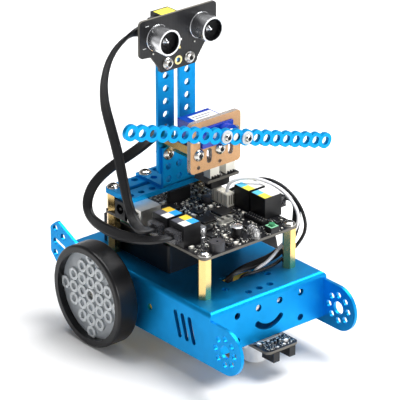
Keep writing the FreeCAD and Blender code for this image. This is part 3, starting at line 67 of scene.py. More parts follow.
def add_camera():
    """Stands where the product camera stood, with its long lens."""
    azimuth, elevation = math.radians(-40.138), math.radians(24.447)
    back = Vector((math.sin(azimuth) * math.cos(elevation), -math.cos(azimuth) * math.cos(elevation),
                   math.sin(elevation)))
    right = Vector((math.cos(azimuth), math.sin(azimuth), 0))
    up = back.cross(right)
    data = bpy.data.cameras.new("camera")
    data.sensor_width = 36
    data.lens = 263.15
    data.clip_end = 20
    camera = bpy.data.objects.new("camera", data)
    turn = Matrix((right, up, back)).transposed().to_4x4()
    camera.matrix_world = Matrix.Translation((-0.99180, -1.20635, 0.78500)) @ turn
    bpy.context.collection.objects.link(camera)
    bpy.context.scene.camera = camera


add_camera()


# ---------------------------------------------------------------- materials


class Surface:
    """A node material under construction, with short calls for the nodes it uses."""

    def __init__(self, name):
        self.material = bpy.data.materials.new(name)
        self.material.use_nodes = True
        self.tree = self.material.node_tree
        self.shader = self.tree.nodes["Principled BSDF"]
        self.coords = self.tree.nodes.new("ShaderNodeTexCoord").outputs["Object"]

    def link(self, source, target):
        self.tree.links.new(source, target)

    def set(self, **values):
        for key, value in values.items():
            self.shader.inputs[key.replace("_", " ")].default_value = value
        return self

    def noise(self, scale, detail=3.0, rough=0.55, stretch=None):
        node = self.tree.nodes.new("ShaderNodeTexNoise")
        node.inputs["Scale"].default_value = scale
        node.inputs["Detail"].default_value = detail
        node.inputs["Roughness"].default_value = rough
        source = self.coords
        if stretch:
            mapping = self.tree.nodes.new("ShaderNodeMapping")
            mapping.inputs["Scale"].default_value = stretch
            self.link(source, mapping.inputs["Vector"])
            source = mapping.outputs["Vector"]
        self.link(source, node.inputs["Vector"])
        return node.outputs["Fac"]

    def cells(self, scale):
        node = self.tree.nodes.new("ShaderNodeTexVoronoi")
        node.inputs["Scale"].default_value = scale
        self.link(self.coords, node.inputs["Vector"])
        return node.outputs["Distance"]

    def ramp(self, source, stops):
        node = self.tree.nodes.new("ShaderNodeValToRGB")
        while len(node.color_ramp.elements) < len(stops):
            node.color_ramp.elements.new(0.5)
        for element, (place, colour) in zip(node.color_ramp.elements, stops):
            element.position = place
            element.color = (*colour, 1)
        self.link(source, node.inputs["Fac"])
        return node.outputs["Color"]

    def levels(self, source, low, high):
        node = self.tree.nodes.new("ShaderNodeMapRange")
        node.inputs["To Min"].default_value = low
        node.inputs["To Max"].default_value = high
        self.link(source, node.inputs["Value"])
        return node.outputs["Result"]

    def colour(self, source):
        self.link(source, self.shader.inputs["Base Color"])
        return self

    def roughness(self, source):
        self.link(source, self.shader.inputs["Roughness"])
        return self

    def bump(self, source, depth, strength=0.5):
        node = self.tree.nodes.new("ShaderNodeBump")
        node.inputs["Distance"].default_value = depth
        node.inputs["Strength"].default_value = strength
        self.link(source, node.inputs["Height"])
        self.link(node.outputs["Normal"], self.shader.inputs["Normal"])
        return self


def shade(rgb, factor):
    return tuple(min(1.0, channel * factor) for channel in rgb)


def metal(name, rgb, rough=0.3, metallic=1.0, grain=2500, depth=0.00001, wear=0.12):
    """Plated, anodised or bare metal: fine grain, cloudy tone and smudged gloss."""
    s = Surface(name).set(Metallic=metallic)
    cloud = s.noise(60, 4)
    s.colour(s.ramp(cloud, [(0.3, shade(rgb, 1 - wear)), (0.7, shade(rgb, 1 + wear * 0.6))]))
    s.roughness(s.levels(s.noise(140, 5, 0.65), rough * 0.75, rough * 1.3))
    s.bump(s.noise(grain, 2), depth)
    return s.material


def plastic(name, rgb, rough=0.4, grain=1800, depth=0.00001, tone=0.08, **extra):
    """Moulded plastic: a fine spark-eroded texture and slight unevenness."""
    s = Surface(name).set(**extra)
    s.colour(s.ramp(s.noise(90, 4), [(0.3, shade(rgb, 1 - tone)), (0.7, shade(rgb, 1 + tone))]))
    s.roughness(s.levels(s.noise(220, 4), rough * 0.8, rough * 1.25))
    s.bump(s.noise(grain, 3), depth)
    return s.material


def board_face(name, rgb):
    """Solder mask on a printed board: faint tracks under a glossy varnish, with specks of bare metal."""
    s = Surface(name).set(Specular_IOR_Level=0.32, Coat_Weight=0.12, Coat_Roughness=0.2)
    tracks = s.tree.nodes.new("ShaderNodeTexBrick")
    tracks.inputs["Scale"].default_value = 260
    tracks.inputs["Mortar Size"].default_value = 0.012
    tracks.inputs["Color1"].default_value = (*rgb, 1)
    tracks.inputs["Color2"].default_value = (*shade(rgb, 0.7), 1)
    tracks.inputs["Mortar"].default_value = (*shade(rgb, 2.2), 1)
    s.link(s.coords, tracks.inputs["Vector"])
    s.colour(tracks.outputs["Color"])
    s.roughness(s.levels(s.noise(300, 3), 0.28, 0.45))
    s.bump(tracks.outputs["Fac"], 0.00003, 0.35)
    return s.material


def kraft(name):
    """Brown masking paper on clear sheet: mottled pulp fibres."""
    s = Surface(name).set(Specular_IOR_Level=0.25)
    fibres = s.noise(900, 6, 0.7, (1, 1, 4))
    browns = [(0.25, (0.50, 0.27, 0.12)), (0.55, (0.66, 0.38, 0.19)), (0.8, (0.74, 0.47, 0.26))]
    s.colour(s.ramp(fibres, browns))
    s.roughness(s.levels(s.noise(400, 4), 0.6, 0.85))
    s.bump(s.noise(1500, 4), 0.00003)
    return s.material


def rubber(name):
    """Tyre compound: near black, satin, with a faint moulded grain."""
    s = Surface(name).set(Specular_IOR_Level=0.35)
    s.colour(s.ramp(s.noise(80, 5), [(0.3, (0.004, 0.004, 0.005)), (0.75, (0.009, 0.009, 0.010))]))
    s.roughness(s.levels(s.noise(60, 4), 0.24, 0.42))
    s.bump(s.noise(1600, 4), 0.00004, 0.6)
    return s.material


def clear(name, rgb, weight, rough=0.12, ior=1.49):
    """Transparent or milky moulding, with flow marks in it."""
    s = Surface(name).set(Transmission_Weight=weight, IOR=ior)
    s.colour(s.ramp(s.noise(45, 3), [(0.3, shade(rgb, 0.92)), (0.7, shade(rgb, 1.06))]))
    s.roughness(s.levels(s.noise(150, 3), rough * 0.7, rough * 1.5))
    s.bump(s.noise(220, 2), 0.00002, 0.4)
    return s.material


def mesh_screen(name):
    """The woven metal screen in front of an ultrasonic transducer."""
    s = Surface(name).set(Metallic=0.3, Specular_IOR_Level=0.2)
    dots = s.cells(1500)
    s.colour(s.ramp(dots, [(0.2, (0.03, 0.03, 0.032)), (0.5, (0.004, 0.004, 0.005))]))
    s.roughness(s.levels(dots, 0.3, 0.7))
    s.bump(dots, 0.0001, 0.8)
    return s.material


M = {
    "blue": metal("blue_anodised", (0.001, 0.30, 0.70), 0.42, 0.9, wear=0.10),
    "strip": metal("strip_blue", (0.002, 0.34, 0.76), 0.42, 0.9, wear=0.08),
    "brass": metal("brass", (0.86, 0.60, 0.24), 0.24, wear=0.15),
    "steel": metal("bright_steel", (0.66, 0.64, 0.60), 0.17, wear=0.18),
    "can": metal("turned_aluminium", (0.86, 0.87, 0.89), 0.24, wear=0.05, grain=60, depth=0.000004),
    "rim": metal("polished_rim", (0.92, 0.93, 0.94), 0.38, 0.6, wear=0.03, depth=0.000003),
    "motor": metal("motor_steel", (0.60, 0.60, 0.61), 0.34, wear=0.2),
    "tin": metal("tinned_shell", (0.84, 0.83, 0.78), 0.38, wear=0.3),
    "gold": metal("gold_plate", (0.90, 0.72, 0.34), 0.25, wear=0.15),
    "yellow": plastic("yellow_moulding", (0.83, 0.55, 0.03), 0.42),
    "black": plastic("black_moulding", (0.007, 0.007, 0.008), 0.33, tone=0.2, Specular_IOR_Level=0.35),
    "grey": plastic("grey_moulding", (0.035, 0.035, 0.040), 0.4, tone=0.15),
    "tray": plastic("tray_black", (0.006, 0.006, 0.007), 0.42, tone=0.2, Specular_IOR_Level=0.3),
    "cell": plastic("cell_jacket", (0.02, 0.12, 0.06), 0.22),
    "ivory": plastic("ivory_moulding", (0.82, 0.79, 0.70), 0.42, tone=0.06),
    "white": plastic("white_moulding", (0.86, 0.86, 0.85), 0.35, tone=0.04),
    "green": plastic("green_cap", (0.03, 0.22, 0.09), 0.4),
    "green_frame": plastic("green_frame", (0.22, 0.55, 0.33), 0.35),
    # a dark colour painted as the shade inside the motor connectors' slots
    "slot_shade": plastic("painted_slot_shade", (0.10, 0.085, 0.06), 0.6),
    "board": board_face("board_black", (0.006, 0.006, 0.008)),
    "edge": plastic("board_edge", (0.13, 0.12, 0.10), 0.6, tone=0.2),
    "kraft": kraft("kraft_paper"),
    "acrylic": clear("clear_acrylic", (0.93, 0.92, 0.89), 0.75, 0.25),
    "tyre": rubber("tyre_rubber"),
    "pvc": plastic("black_pvc", (0.006, 0.006, 0.007), 0.36, tone=0.2, Specular_IOR_Level=0.4),
    "white_pvc": plastic("white_pvc", (0.84, 0.84, 0.86), 0.36, tone=0.04),
    "milk": clear("milky_hub", (0.56, 0.60, 0.63), 0.45, 0.3),
    "milk_ring": clear("milky_ring", (0.80, 0.84, 0.86), 0.25, 0.3),
    "servo": clear("servo_blue", (0.01, 0.06, 0.55), 0.35, 0.18),
    "smoke": clear("smoky_plug", (0.22, 0.22, 0.24), 0.8, 0.1),
    "lamp": clear("clear_lamp", (0.95, 0.95, 0.97), 0.85, 0.06),
    "screen": mesh_screen("transducer_screen"),
    "mark_white": plastic("white_ink", (0.85, 0.85, 0.85), 0.5, tone=0.05),
    "mark_yellow": plastic("yellow_ink", (0.92, 0.82, 0.08), 0.5, tone=0.05),
    "mark_orange": plastic("orange_ink", (0.90, 0.60, 0.04), 0.5, tone=0.05),
    "mark_blue": plastic("blue_ink", (0.02, 0.36, 0.85), 0.5, tone=0.05),
    "mark_sky": plastic("sky_ink", (0.10, 0.55, 0.82), 0.5, tone=0.05),
    "mark_grey": plastic("grey_ink", (0.09, 0.09, 0.11), 0.5, tone=0.05),
}


# ---------------------------------------------------------------- mesh helpers


def finish_piece(name, mesh, material, body="robot", smooth=0.6, bevel=0.0):
    piece = bpy.data.objects.new(name, mesh)
    bpy.context.collection.objects.link(piece)
    mesh.materials.append(material)
    if bevel:
        modifier = piece.modifiers.new("edges", "BEVEL")
        modifier.width = bevel
        modifier.segments = 2
        modifier.limit_method = "ANGLE"
    for polygon in mesh.polygons:
        polygon.use_smooth = bool(smooth)
    if smooth:
        mesh.set_sharp_from_angle(angle=smooth)
    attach(piece, body)
    return piece


def from_bmesh(name, bm, material, **options):
    bmesh.ops.recalc_face_normals(bm, faces=bm.faces)
    mesh = bpy.data.meshes.new(name)
    bm.to_mesh(mesh)
    bm.free()
    return finish_piece(name, mesh, material, **options)


def add_block(bm, low, high):
    """A box between two corners given in millimetres."""
    centre = [(a + b) / 2 * MM for a, b in zip(low, high)]
    extent = [(b - a) * MM for a, b in zip(low, high)]
    matrix = Matrix.Translation(centre) @ Matrix.Diagonal((*extent, 1))
    bmesh.ops.create_cube(bm, size=1, matrix=matrix)


# the turns that bring local Z onto each axis
TURNS = {
    "x": Matrix.Rotation(math.pi / 2, 4, "Y"),
    "y": Matrix.Rotation(-math.pi / 2, 4, "X"),
    "z": Matrix(),
}


def add_round(bm, centre, axis, radius, length, top=None, segments=32):
    """A cylinder or cone whose base is at centre, running along the axis, in millimetres."""
    matrix = Matrix.Translation(mm(*centre)) @ TURNS[axis] @ Matrix.Translation((0, 0, length * MM / 2))
    top = radius if top is None else top
    bmesh.ops.create_cone(bm, cap_ends=True, segments=segments, radius1=radius * MM, radius2=top * MM,
                          depth=length * MM, matrix=matrix)


def lathe(bm, centre, axis, profile, segments=48):
    """Turns a profile of (radius, height) points, in millimetres, about the axis through centre."""
    matrix = Matrix.Translation(mm(*centre)) @ TURNS[axis]
    rings = []
    for radius, height in profile:
        if radius < 1e-6:
            rings.append([bm.verts.new(matrix @ Vector((0, 0, height * MM)))])
            continue
        ring = []
        for step in range(segments):
            angle = 2 * math.pi * step / segments
            place = Vector((radius * math.cos(angle), radius * math.sin(angle), height)) * MM
            ring.append(bm.verts.new(matrix @ place))
        rings.append(ring)
    for lower, upper in zip(rings, rings[1:]):
        for step in range(segments):
            following = (step + 1) % segments
            corners = [lower[step % len(lower)], lower[following % len(lower)],
                       upper[following % len(upper)], upper[step % len(upper)]]
            unique = list(dict.fromkeys(corners))
            if len(unique) > 2:
                bm.faces.new(unique)


def blocks(name, boxes, material, bevel=0.0):
    """One piece of several boxes, each given by its low and high corners in millimetres."""
    bm = bmesh.new()
    for low, high in boxes:
        add_block(bm, low, high)
    return from_bmesh(name, bm, material, bevel=bevel, smooth=0)


# ---------------------------------------------------------------- cables

ROUTES = {
    "sensor_cable": [
        (-13.2, -2.65, 187.6), (-19.5, -2.65, 187.6), (-27.5, 1.5, 184.4), (-33, 8.8, 173),
        (-35, 13.6, 157.5), (-35.7, 12.8, 142.5), (-35.3, 7.6, 129), (-36.3, 0.5, 116.8),
        (-39, -8, 101.5), (-42, -16, 91),
        (-45.5, -25, 84.6), (-47.6, -33, 82.05), (-45.6, -37.1, 82.05), (-41, -37.1, 82.05),
    ],
    "adapter_cable": [
        (-40.6, -51.75, 82.05), (-45, -51.75, 82.05), (-48, -45, 79.4), (-49.4, -32, 76.2),
        (-49.8, -17, 73.4), (-49.2, -1.4, 72.6), (-48.6, 11, 74.2), (-46.2, 17.6, 81),
        (-41.5, 16.8, 92), (-33, 10.5, 102.5),
        (-23, 3, 110.5), (-12, 0.4, 117), (1, 4.2, 119.8), (13, 13, 117.5), (19.6, 22, 111.5),
        (21.7, 29.4, 103.5), (21.7, 28.4, 97.65), (21.7, 18.6, 97.65),
    ],
    "line_cable": [
        (42.4, -52.5, 82.05), (47.6, -52.5, 82.05), (49.6, -58.6, 77.6), (46, -62.6, 68), (40, -62.8, 58.5),
        (30, -62.2, 52.6), (17, -61.6, 51.4), (4, -61.6, 51.4), (-3.6, -61.7, 50), (-6, -61, 43),
        (-7.4, -49, 40), (-6.6, -36, 40), (-4.4, -28.4, 35), (-1.6, -29.6, 27.2), (0, -37.4, 25.85),
        (0, -51.4, 25.85),
    ],
    "white_lead": [
        (22.6, -27.9, 83.3), (22.6, -27.9, 88), (27, -31.4, 91.8), (35, -38.4, 92.4), (40.4, -49, 90.4),
        (42.6, -60.4, 85.4), (42.4, -68.8, 78), (39.8, -70.2, 69.8), (33, -65.6, 60.6), (22, -65.6, 52.6),
        (12.8, -65.2, 50.4), (8.8, -64.8, 45), (13.4, -66.8, 35.6), (21, -73.4, 32.2), (28.6, -74, 32),
        (32.6, -69.4, 32), (32.6, -62, 32),
    ],
    "black_lead": [
        (25.4, -20.4, 79), (30.4, -20.4, 79), (36, -24.4, 83), (40.4, -32, 88.2), (43.6, -43, 90.6),
        (46.4, -55, 87.2), (48, -65, 78.4), (46.8, -71, 67.8), (42, -68.4, 57.8), (33, -65.8, 51.4),
        (23, -68.2, 50.2), (8, -68.4, 50.2), (3.4, -65.6, 50.2), (-0.8, -64.8, 45.4), (-3.6, -67, 37.8),
        (-10.6, -72, 33.2), (-20, -75.2, 32), (-28.6, -74, 32), (-32.6, -69.4, 32), (-32.6, -62, 32),
    ],
}
# the way the broad face of a flat cable looks, from its first end to its last
FACES = {
    "sensor_cable": [(0, 0.99, -0.1), (-0.6, 0.7, 0.4), (-0.95, 0.25, 0.1), (-0.9, -0.4, 0.1),
                     (-0.9, -0.45, 0), (-0.95, -0.3, 0.1), (-0.3, -0.2, 0.93), (0, 0, 1)],
    "adapter_cable": [(0, 0, 1), (-0.35, 0, 0.94), (-0.8, 0, 0.6), (-0.97, 0.1, 0.2), (-0.6, -0.3, 0.7),
                      (-0.35, -0.5, 0.8), (0, -0.5, 0.86), (0, 0.2, 0.98), (0, 0.98, 0.1), (0, 0, -1)],
    "line_cable": [(0, 0, 1), (0.9, 0.1, 0.3), (0.5, 0, 0.85), (0, 0, 1), (0, 0.9, 0.4), (0, 0.2, 0.98),
                   (0, 0.9, 0.4), (0, 0, -1)],
}


def nurbs(name, route):
    curve = bpy.data.curves.new(name, "CURVE")
    curve.dimensions = "3D"
    curve.resolution_u = 10
    spline = curve.splines.new("NURBS")
    spline.points.add(len(route) - 1)
    for point, place in zip(spline.points, route):
        point.co = (*mm(*place), 1)
    spline.order_u = 3
    spline.use_endpoint_u = True
    return bpy.data.objects.new(name, curve)


def line_of(route):
    """The points of the route's smooth line."""
    source = nurbs("line", route)
    mesh = bpy.data.meshes.new_from_object(source)
    return [vertex.co.copy() for vertex in mesh.vertices]


def flat_section(wide, thick, cores):
    """A closed ribbon outline, its broad faces gently ribbed by the cores inside."""
    outline = []
    steps = cores * 4
    for side in (1, -1):
        for step in range(steps + 1):
            across = (0.5 - step / steps) * (wide - thick) * side
            rib = 0.06 * thick * (1 - math.cos(2 * math.pi * cores * step / steps)) / 2
            outline.append((across, side * (thick / 2 - 0.06 * thick + rib)))
        for turn in (1, 2, 3):
            angle = math.radians(90 + 45 * turn) if side > 0 else math.radians(-90 + 45 * turn)
            middle = -(wide - thick) / 2 * side
            outline.append((middle + thick / 2 * math.cos(angle), thick / 2 * math.sin(angle)))
    return outline


def ribbon(name, wide, thick):
    """A flat module cable laid along its smooth line, its broad face turning as its hints say."""
    path = line_of(ROUTES[name])
    hints = [Vector(face).normalized() for face in FACES[name]]
    outline = flat_section(wide, thick, 6)
    bm = bmesh.new()
    rings = []
    for number, place in enumerate(path):
        ahead = path[min(number + 1, len(path) - 1)] - path[max(number - 1, 0)]
        ahead.normalize()
        along = number / (len(path) - 1) * (len(hints) - 1)
        first = min(int(along), len(hints) - 2)
        face = hints[first].lerp(hints[first + 1], along - first)
        face = (face - ahead * face.dot(ahead)).normalized()
        across = ahead.cross(face)
        rings.append([bm.verts.new(place + across * x * MM + face * y * MM) for x, y in outline])
    for lower, upper in zip(rings, rings[1:]):
        for step in range(len(outline)):
            following = (step + 1) % len(outline)
            bm.faces.new((lower[step], lower[following], upper[following], upper[step]))
    bm.faces.new(rings[0])
    bm.faces.new(rings[-1])
    piece = from_bmesh(name + "_flat", bm, M["pvc"], smooth=0.9)
    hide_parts(name)


def lead(name, material):
    """A round two-core motor lead."""
    path = line_of(ROUTES[name])
    curve = nurbs(name + "_round", ROUTES[name])
    curve.data.bevel_depth = 1.0 * MM
    curve.data.bevel_resolution = 6
    curve.data.use_fill_caps = True
    curve.data.materials.append(M[material])
    bpy.context.collection.objects.link(curve)
    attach(curve, "robot")
    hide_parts(name)


for cable in ("sensor_cable", "adapter_cable", "line_cable"):
    ribbon(cable, 6.6, 2.4)
lead("white_lead", "white_pvc")
lead("black_lead", "pvc")


# ---------------------------------------------------------------- CAD pieces that stay, in better materials


def side_mix(name, base, edge, axis, threshold=0.7):
    """A copy of one material whose narrow sides, across the axis, show another."""
    material = bpy.data.materials.new(name)
    material.use_nodes = True
    tree = material.node_tree
    tree.nodes.clear()
    groups = []
    for source in (base, edge):
        wrapper = bpy.data.node_groups.get("surface_" + source.name) or surface_group(source)
        node = tree.nodes.new("ShaderNodeGroup")
        node.node_tree = wrapper
        groups.append(node)
    normal = tree.nodes.new("ShaderNodeNewGeometry").outputs["True Normal"]
    local = tree.nodes.new("ShaderNodeVectorTransform")
    local.vector_type = "NORMAL"
    local.convert_from, local.convert_to = "WORLD", "OBJECT"
    parts = tree.nodes.new("ShaderNodeSeparateXYZ")
    absolute = tree.nodes.new("ShaderNodeMath")
    absolute.operation = "ABSOLUTE"
    step = tree.nodes.new("ShaderNodeMath")
    step.operation = "LESS_THAN"
    step.inputs[1].default_value = threshold
    mix = tree.nodes.new("ShaderNodeMixShader")
    out = tree.nodes.new("ShaderNodeOutputMaterial")
    tree.links.new(normal, local.inputs[0])
    tree.links.new(local.outputs[0], parts.inputs[0])
    tree.links.new(parts.outputs[axis], absolute.inputs[0])
    tree.links.new(absolute.outputs[0], step.inputs[0])
    tree.links.new(step.outputs[0], mix.inputs[0])
    tree.links.new(groups[0].outputs[0], mix.inputs[1])
    tree.links.new(groups[1].outputs[0], mix.inputs[2])
    tree.links.new(mix.outputs[0], out.inputs["Surface"])
    return material


def surface_group(source):
    """The shader of a material, repacked as a node group."""
    group = bpy.data.node_groups.new("surface_" + source.name, "ShaderNodeTree")
    group.interface.new_socket("Shader", in_out="OUTPUT", socket_type="NodeSocketShader")
    out = group.nodes.new("NodeGroupOutput")
    copies = {}
    for node in source.node_tree.nodes:
        if node.bl_idname == "ShaderNodeOutputMaterial":
            continue
        copy = group.nodes.new(node.bl_idname)
        copies[node.name] = copy
        for field in ("operation", "vector_type", "convert_from", "convert_to"):
            if hasattr(node, field):
                setattr(copy, field, getattr(node, field))
        if node.bl_idname == "ShaderNodeValToRGB":
            elements = copy.color_ramp.elements
            while len(elements) < len(node.color_ramp.elements):
                elements.new(0.5)
            for old, new in zip(node.color_ramp.elements, elements):
                new.position = old.position
                new.color = old.color
        for old, new in zip(node.inputs, copy.inputs):
            if hasattr(old, "default_value") and not old.is_linked:
                new.default_value = old.default_value
    for link in source.node_tree.links:
        if link.to_node.bl_idname == "ShaderNodeOutputMaterial":
            group.links.new(copies[link.from_node.name].outputs[link.from_socket.name], out.inputs[0])
            continue
        start = copies[link.from_node.name].outputs[list(link.from_node.outputs).index(link.from_socket)]
        end = copies[link.to_node.name].inputs[list(link.to_node.inputs).index(link.to_socket)]
        group.links.new(start, end)
    return group


M["board_up"] = side_mix("board_with_edge", M["board"], M["edge"], 2)
M["board_front"] = side_mix("upright_board", M["board"], M["edge"], 1)
M["kraft_clear"] = side_mix("kraft_on_acrylic", M["kraft"], M["acrylic"], 1)

PAINT = {
    "blue": ["chassis", "bracket_plate", "angle_bracket", "mast_beams"],
    "strip": ["cross_strip"],
    "brass": ["hex_spacers", "line_inserts"],
    "steel": ["m4_screws", "m4_nuts", "motor_screws", "motor_nuts", "servo_screws", "line_screws",
              "strip_screws", "horn_screw", "left_wheel_screw", "right_wheel_screw", "caster_ball"],
    "yellow": ["left_gearbox", "right_gearbox"],
    "motor": ["left_motor", "right_motor"],
    "tray": ["battery_tray"],
    "cell": ["battery_cells"],
    "tin": ["battery_contacts", "usb_socket", "power_switch"],
    "board_up": ["controller_board", "adapter_board", "line_board"],
    "board_front": ["sensor_board"],
    "black": ["module_jacks", "power_jack", "button_base", "switch_slider", "line_eyes"],
    "grey": ["buzzer"],
    "green": ["button_cap"],
    "ivory": ["motor_connectors", "adapter_headers"],
    "smoke": ["cable_plugs"],
    "tyre": ["left_tyre", "right_tyre"],
    "milk": ["left_hub", "right_hub"],
    "white": ["left_axle", "right_axle", "servo_shaft", "servo_horn", "caster_housing"],
    "milk_ring": ["strip_washers"],
    "kraft_clear": ["servo_plate"],
    "servo": ["servo_case"],
}
for key, names in PAINT.items():
    for name in names:
        for slot in nodes[name].material_slots:
            slot.link = "OBJECT"
            slot.material = M[key]


# ---------------------------------------------------------------- screws with round heads and hexagon sockets


def dome_head(bm, dark, place, way):
    """One button head: its seat is at place and its crown points along way; a thin dark hexagon at the floor
    of its socket is painted shade.
    """
    sign, axis = (-1 if way[0] == "-" else 1), way[1]
    profile = [(3.8, 0.0), (3.8, 0.35), (3.55, 0.95), (3.0, 1.5), (2.2, 1.95), (1.6, 2.18), (1.5, 2.2),
               (1.5, 1.2), (0, 1.2)]
    lathe(bm, place, axis, [(radius, sign * height) for radius, height in profile])
    floor = list(place)
    floor["xyz".index(axis)] += sign * 1.22 if sign > 0 else sign * 1.27
    # a thin black hexagon at the socket floor: painted shade in the recess
    add_round(dark, floor, axis, 1.45, 0.05, segments=6)


# the seat of every head, and the way its crown points
HEADS = [((x, FRONT, BOARD_TOP), "+z") for x in (-32, 32)]
HEADS += [((-32, REAR, PLATE_TOP), "+z"), ((32, REAR, ADAPTER_TOP), "+z")]
HEADS += [((x, REAR, BRACKET_FOOT_TOP), "+z") for x in SCREW_COLUMNS]
HEADS += [((x, y, DECK_UNDERSIDE), "-z") for x in (-32, 32) for y in (FRONT, REAR)]
for column in SCREW_COLUMNS:
    HEADS.append(((column, -11.4, 110.8), "-y"))
    HEADS.append(((column, -7.4, 118.8), "+y"))
    HEADS.append(((column, -38.4, 118.8), "-y"))
    HEADS.append(((column, HEAD_FACE, HEAD_HOLE), "-y"))


def make_screws():
    """The M4 screws, with crowned heads, hexagon sockets floored with dark discs of painted shade, and plain
    shanks.
    """
    bright, dark = bmesh.new(), bmesh.new()
    for place, way in HEADS:
        dome_head(bright, dark, place, way)
    for x in (-32, 32):
        for y in (FRONT, REAR):
            add_round(bright, (x, y, DECK_UNDERSIDE), "z", 1.9, 7.9)
        add_round(bright, (x, FRONT, 67.4), "z", 1.9, 8)
    add_round(bright, (-32, REAR, 81.4), "z", 1.9, 8)
    add_round(bright, (32, REAR, 83), "z", 1.9, 8)
    for x in SCREW_COLUMNS:
        add_round(bright, (x, REAR, 83.4), "z", 1.9, 8)
        add_round(bright, (x, -11.4, 110.8), "y", 1.9, 7.9)
        add_round(bright, (x, -15.3, 118.8), "y", 1.9, 7.9)
        add_round(bright, (x, -38.4, 118.8), "y", 1.9, 7.9)
        add_round(bright, (x, HEAD_FACE, HEAD_HOLE), "y", 1.9, 7.9)
    screws = from_bmesh("round_head_screws", bright, M["steel"], smooth=0.7)
    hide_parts("m4_screws")
    # the black socket floors are painted shade, not the colour of the steel
    from_bmesh("socket_shade_discs", dark, M["black"], smooth=0)


make_screws()


def make_strip_screws():
    """Small round-head screws through the milky washers that clamp the strip to the horn, with a black disc
    of painted shade at the floor of each head's recess.
    """
    tilt = Matrix.Rotation(math.radians(17.1), 4, "Y")
    middle = Matrix.Translation(mm(10.6, -50.1, 128.6))
    bright, dark = bmesh.new(), bmesh.new()
    profile = [(0, 4.9), (1.15, 4.9), (1.15, -0.8), (2.3, -0.8), (2.3, -1.3), (2.05, -2.0), (1.6, -2.5),
               (1.3, -2.6), (1.25, -1.8), (0, -1.8)]
    for x in SCREW_COLUMNS:
        lathe(bright, (x, 0, 0), "y", profile)
        # a black disc at the floor of the head's recess: painted shade
        lathe(dark, (x, 0, 0), "y", [(1.28, -1.95), (0, -1.85)])
    for bm, name, key in ((bright, "strip_screw_heads", "steel"), (dark, "strip_screw_recess_shade", "black")):
        bmesh.ops.transform(bm, matrix=middle @ tilt, verts=bm.verts)
        piece = from_bmesh(name, bm, M[key], body="servo_arm")
        if key == "steel":
            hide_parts("strip_screws")


make_strip_screws()


# ---------------------------------------------------------------- transducers


def make_transducers():
    """The two open cans of the ranging head, each with a rolled rim, a woven screen and a small cone."""
    shells, screens, rims, cones = bmesh.new(), bmesh.new(), bmesh.new(), bmesh.new()
    for x in (-15.9, 15.9):
        place = (x, HEAD_FACE, CAN_HEIGHT)
        lathe(shells, place, "y", [(8.0, 0), (8.0, -0.9), (7.75, -1.1), (7.75, -11.3), (7.7, -11.8)], 64)
        lathe(rims, place, "y", [(7.72, -11.78), (7.4, -12), (6.9, -12), (6.6, -11.75)], 64)
        lathe(screens, place, "y", [(6.6, -11.75), (6.55, -8.6)], 64)
        lathe(screens, place, "y", [(6.58, -8.7), (6.5, -8.4), (0, -8.2)], 64)
        lathe(screens, place, "y", [(8.0, 0), (0, 0)], 64)
        cone = [(2.6, 0), (2.4, -0.3), (1.1, -1.1), (0.6, -2.0), (0, -2.0)]
        lathe(cones, (x, -19.2, CAN_HEIGHT), "y", cone, 40)
    shell = from_bmesh("transducer_shells", shells, M["can"])
    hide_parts("sensor_cans")
    from_bmesh("transducer_rims", rims, M["rim"])
    from_bmesh("transducer_screens", screens, M["screen"])
    from_bmesh("transducer_cones", cones, M["can"])


make_transducers()


# ---------------------------------------------------------------- stickers, pads and marks

# x of the mouth and y of the middle of each jack on the controller board
LEFT_JACKS = [(-35.6, -51.75), (-36.0, -37.1)]
RIGHT_JACKS = [(37.4, -52.5), (37.4, -38.1)]


def make_stickers():
    """Plain coloured patches on the jacks, and plain bars on a blank strip on the servo."""
    marks = {"mark_grey": [], "mark_orange": [], "mark_blue": [], "mark_white": [], "mark_sky": [],
             "mark_yellow": []}

    def patch(key, low_x, high_x, low_y, high_y):
        marks[key].append(((low_x, low_y, JACK_TOP), (high_x, high_y, JACK_TOP + 0.12)))

    for mouth, middle in LEFT_JACKS:
        low, centre, high = mouth + 0.7, mouth + 6.3, mouth + 12.0
        patch("mark_grey", low, centre, middle, middle + 5.8)
        patch("mark_orange", centre, high, middle, middle + 5.8)
        patch("mark_white", low, centre, middle - 5.8, middle)
        patch("mark_blue", centre, high, middle - 5.8, middle)
    for mouth, middle in RIGHT_JACKS:
        low, centre, high = mouth - 12.3, mouth - 7.2, mouth - 0.6
        patch("mark_sky", low, centre, middle + 0.4, middle + 5.9)
        patch("mark_yellow", low, centre, middle - 5.9, middle + 0.4)
        patch("mark_white", centre, high, middle - 5.9, middle + 5.9)
    marks["mark_yellow"].append(((-7.2, -7.0, 194.0), (3.4, 2.6, 194.12)))
    label_top = SERVO_TOP + 0.1
    marks["mark_white"].append(((-1.2, -35.6, SERVO_TOP), (15.6, -20.4, label_top)))
    for row in range(5):
        bar, end = -33.9 + 2.6 * row, 13.8 - 3 * (row % 2)
        marks["mark_grey"].append(((0.2, bar, label_top), (end, bar + 0.7, label_top + 0.03)))
    for key, boxes in marks.items():
        blocks("sticker_" + key, boxes, M[key])


make_stickers()


def ring(bm, place, axis, inner, outer, high):
    """A flat washer with square edges."""
    lathe(bm, place, axis, [(inner, 0), (inner, high), (outer, high), (outer, 0), (inner, 0)], 40)


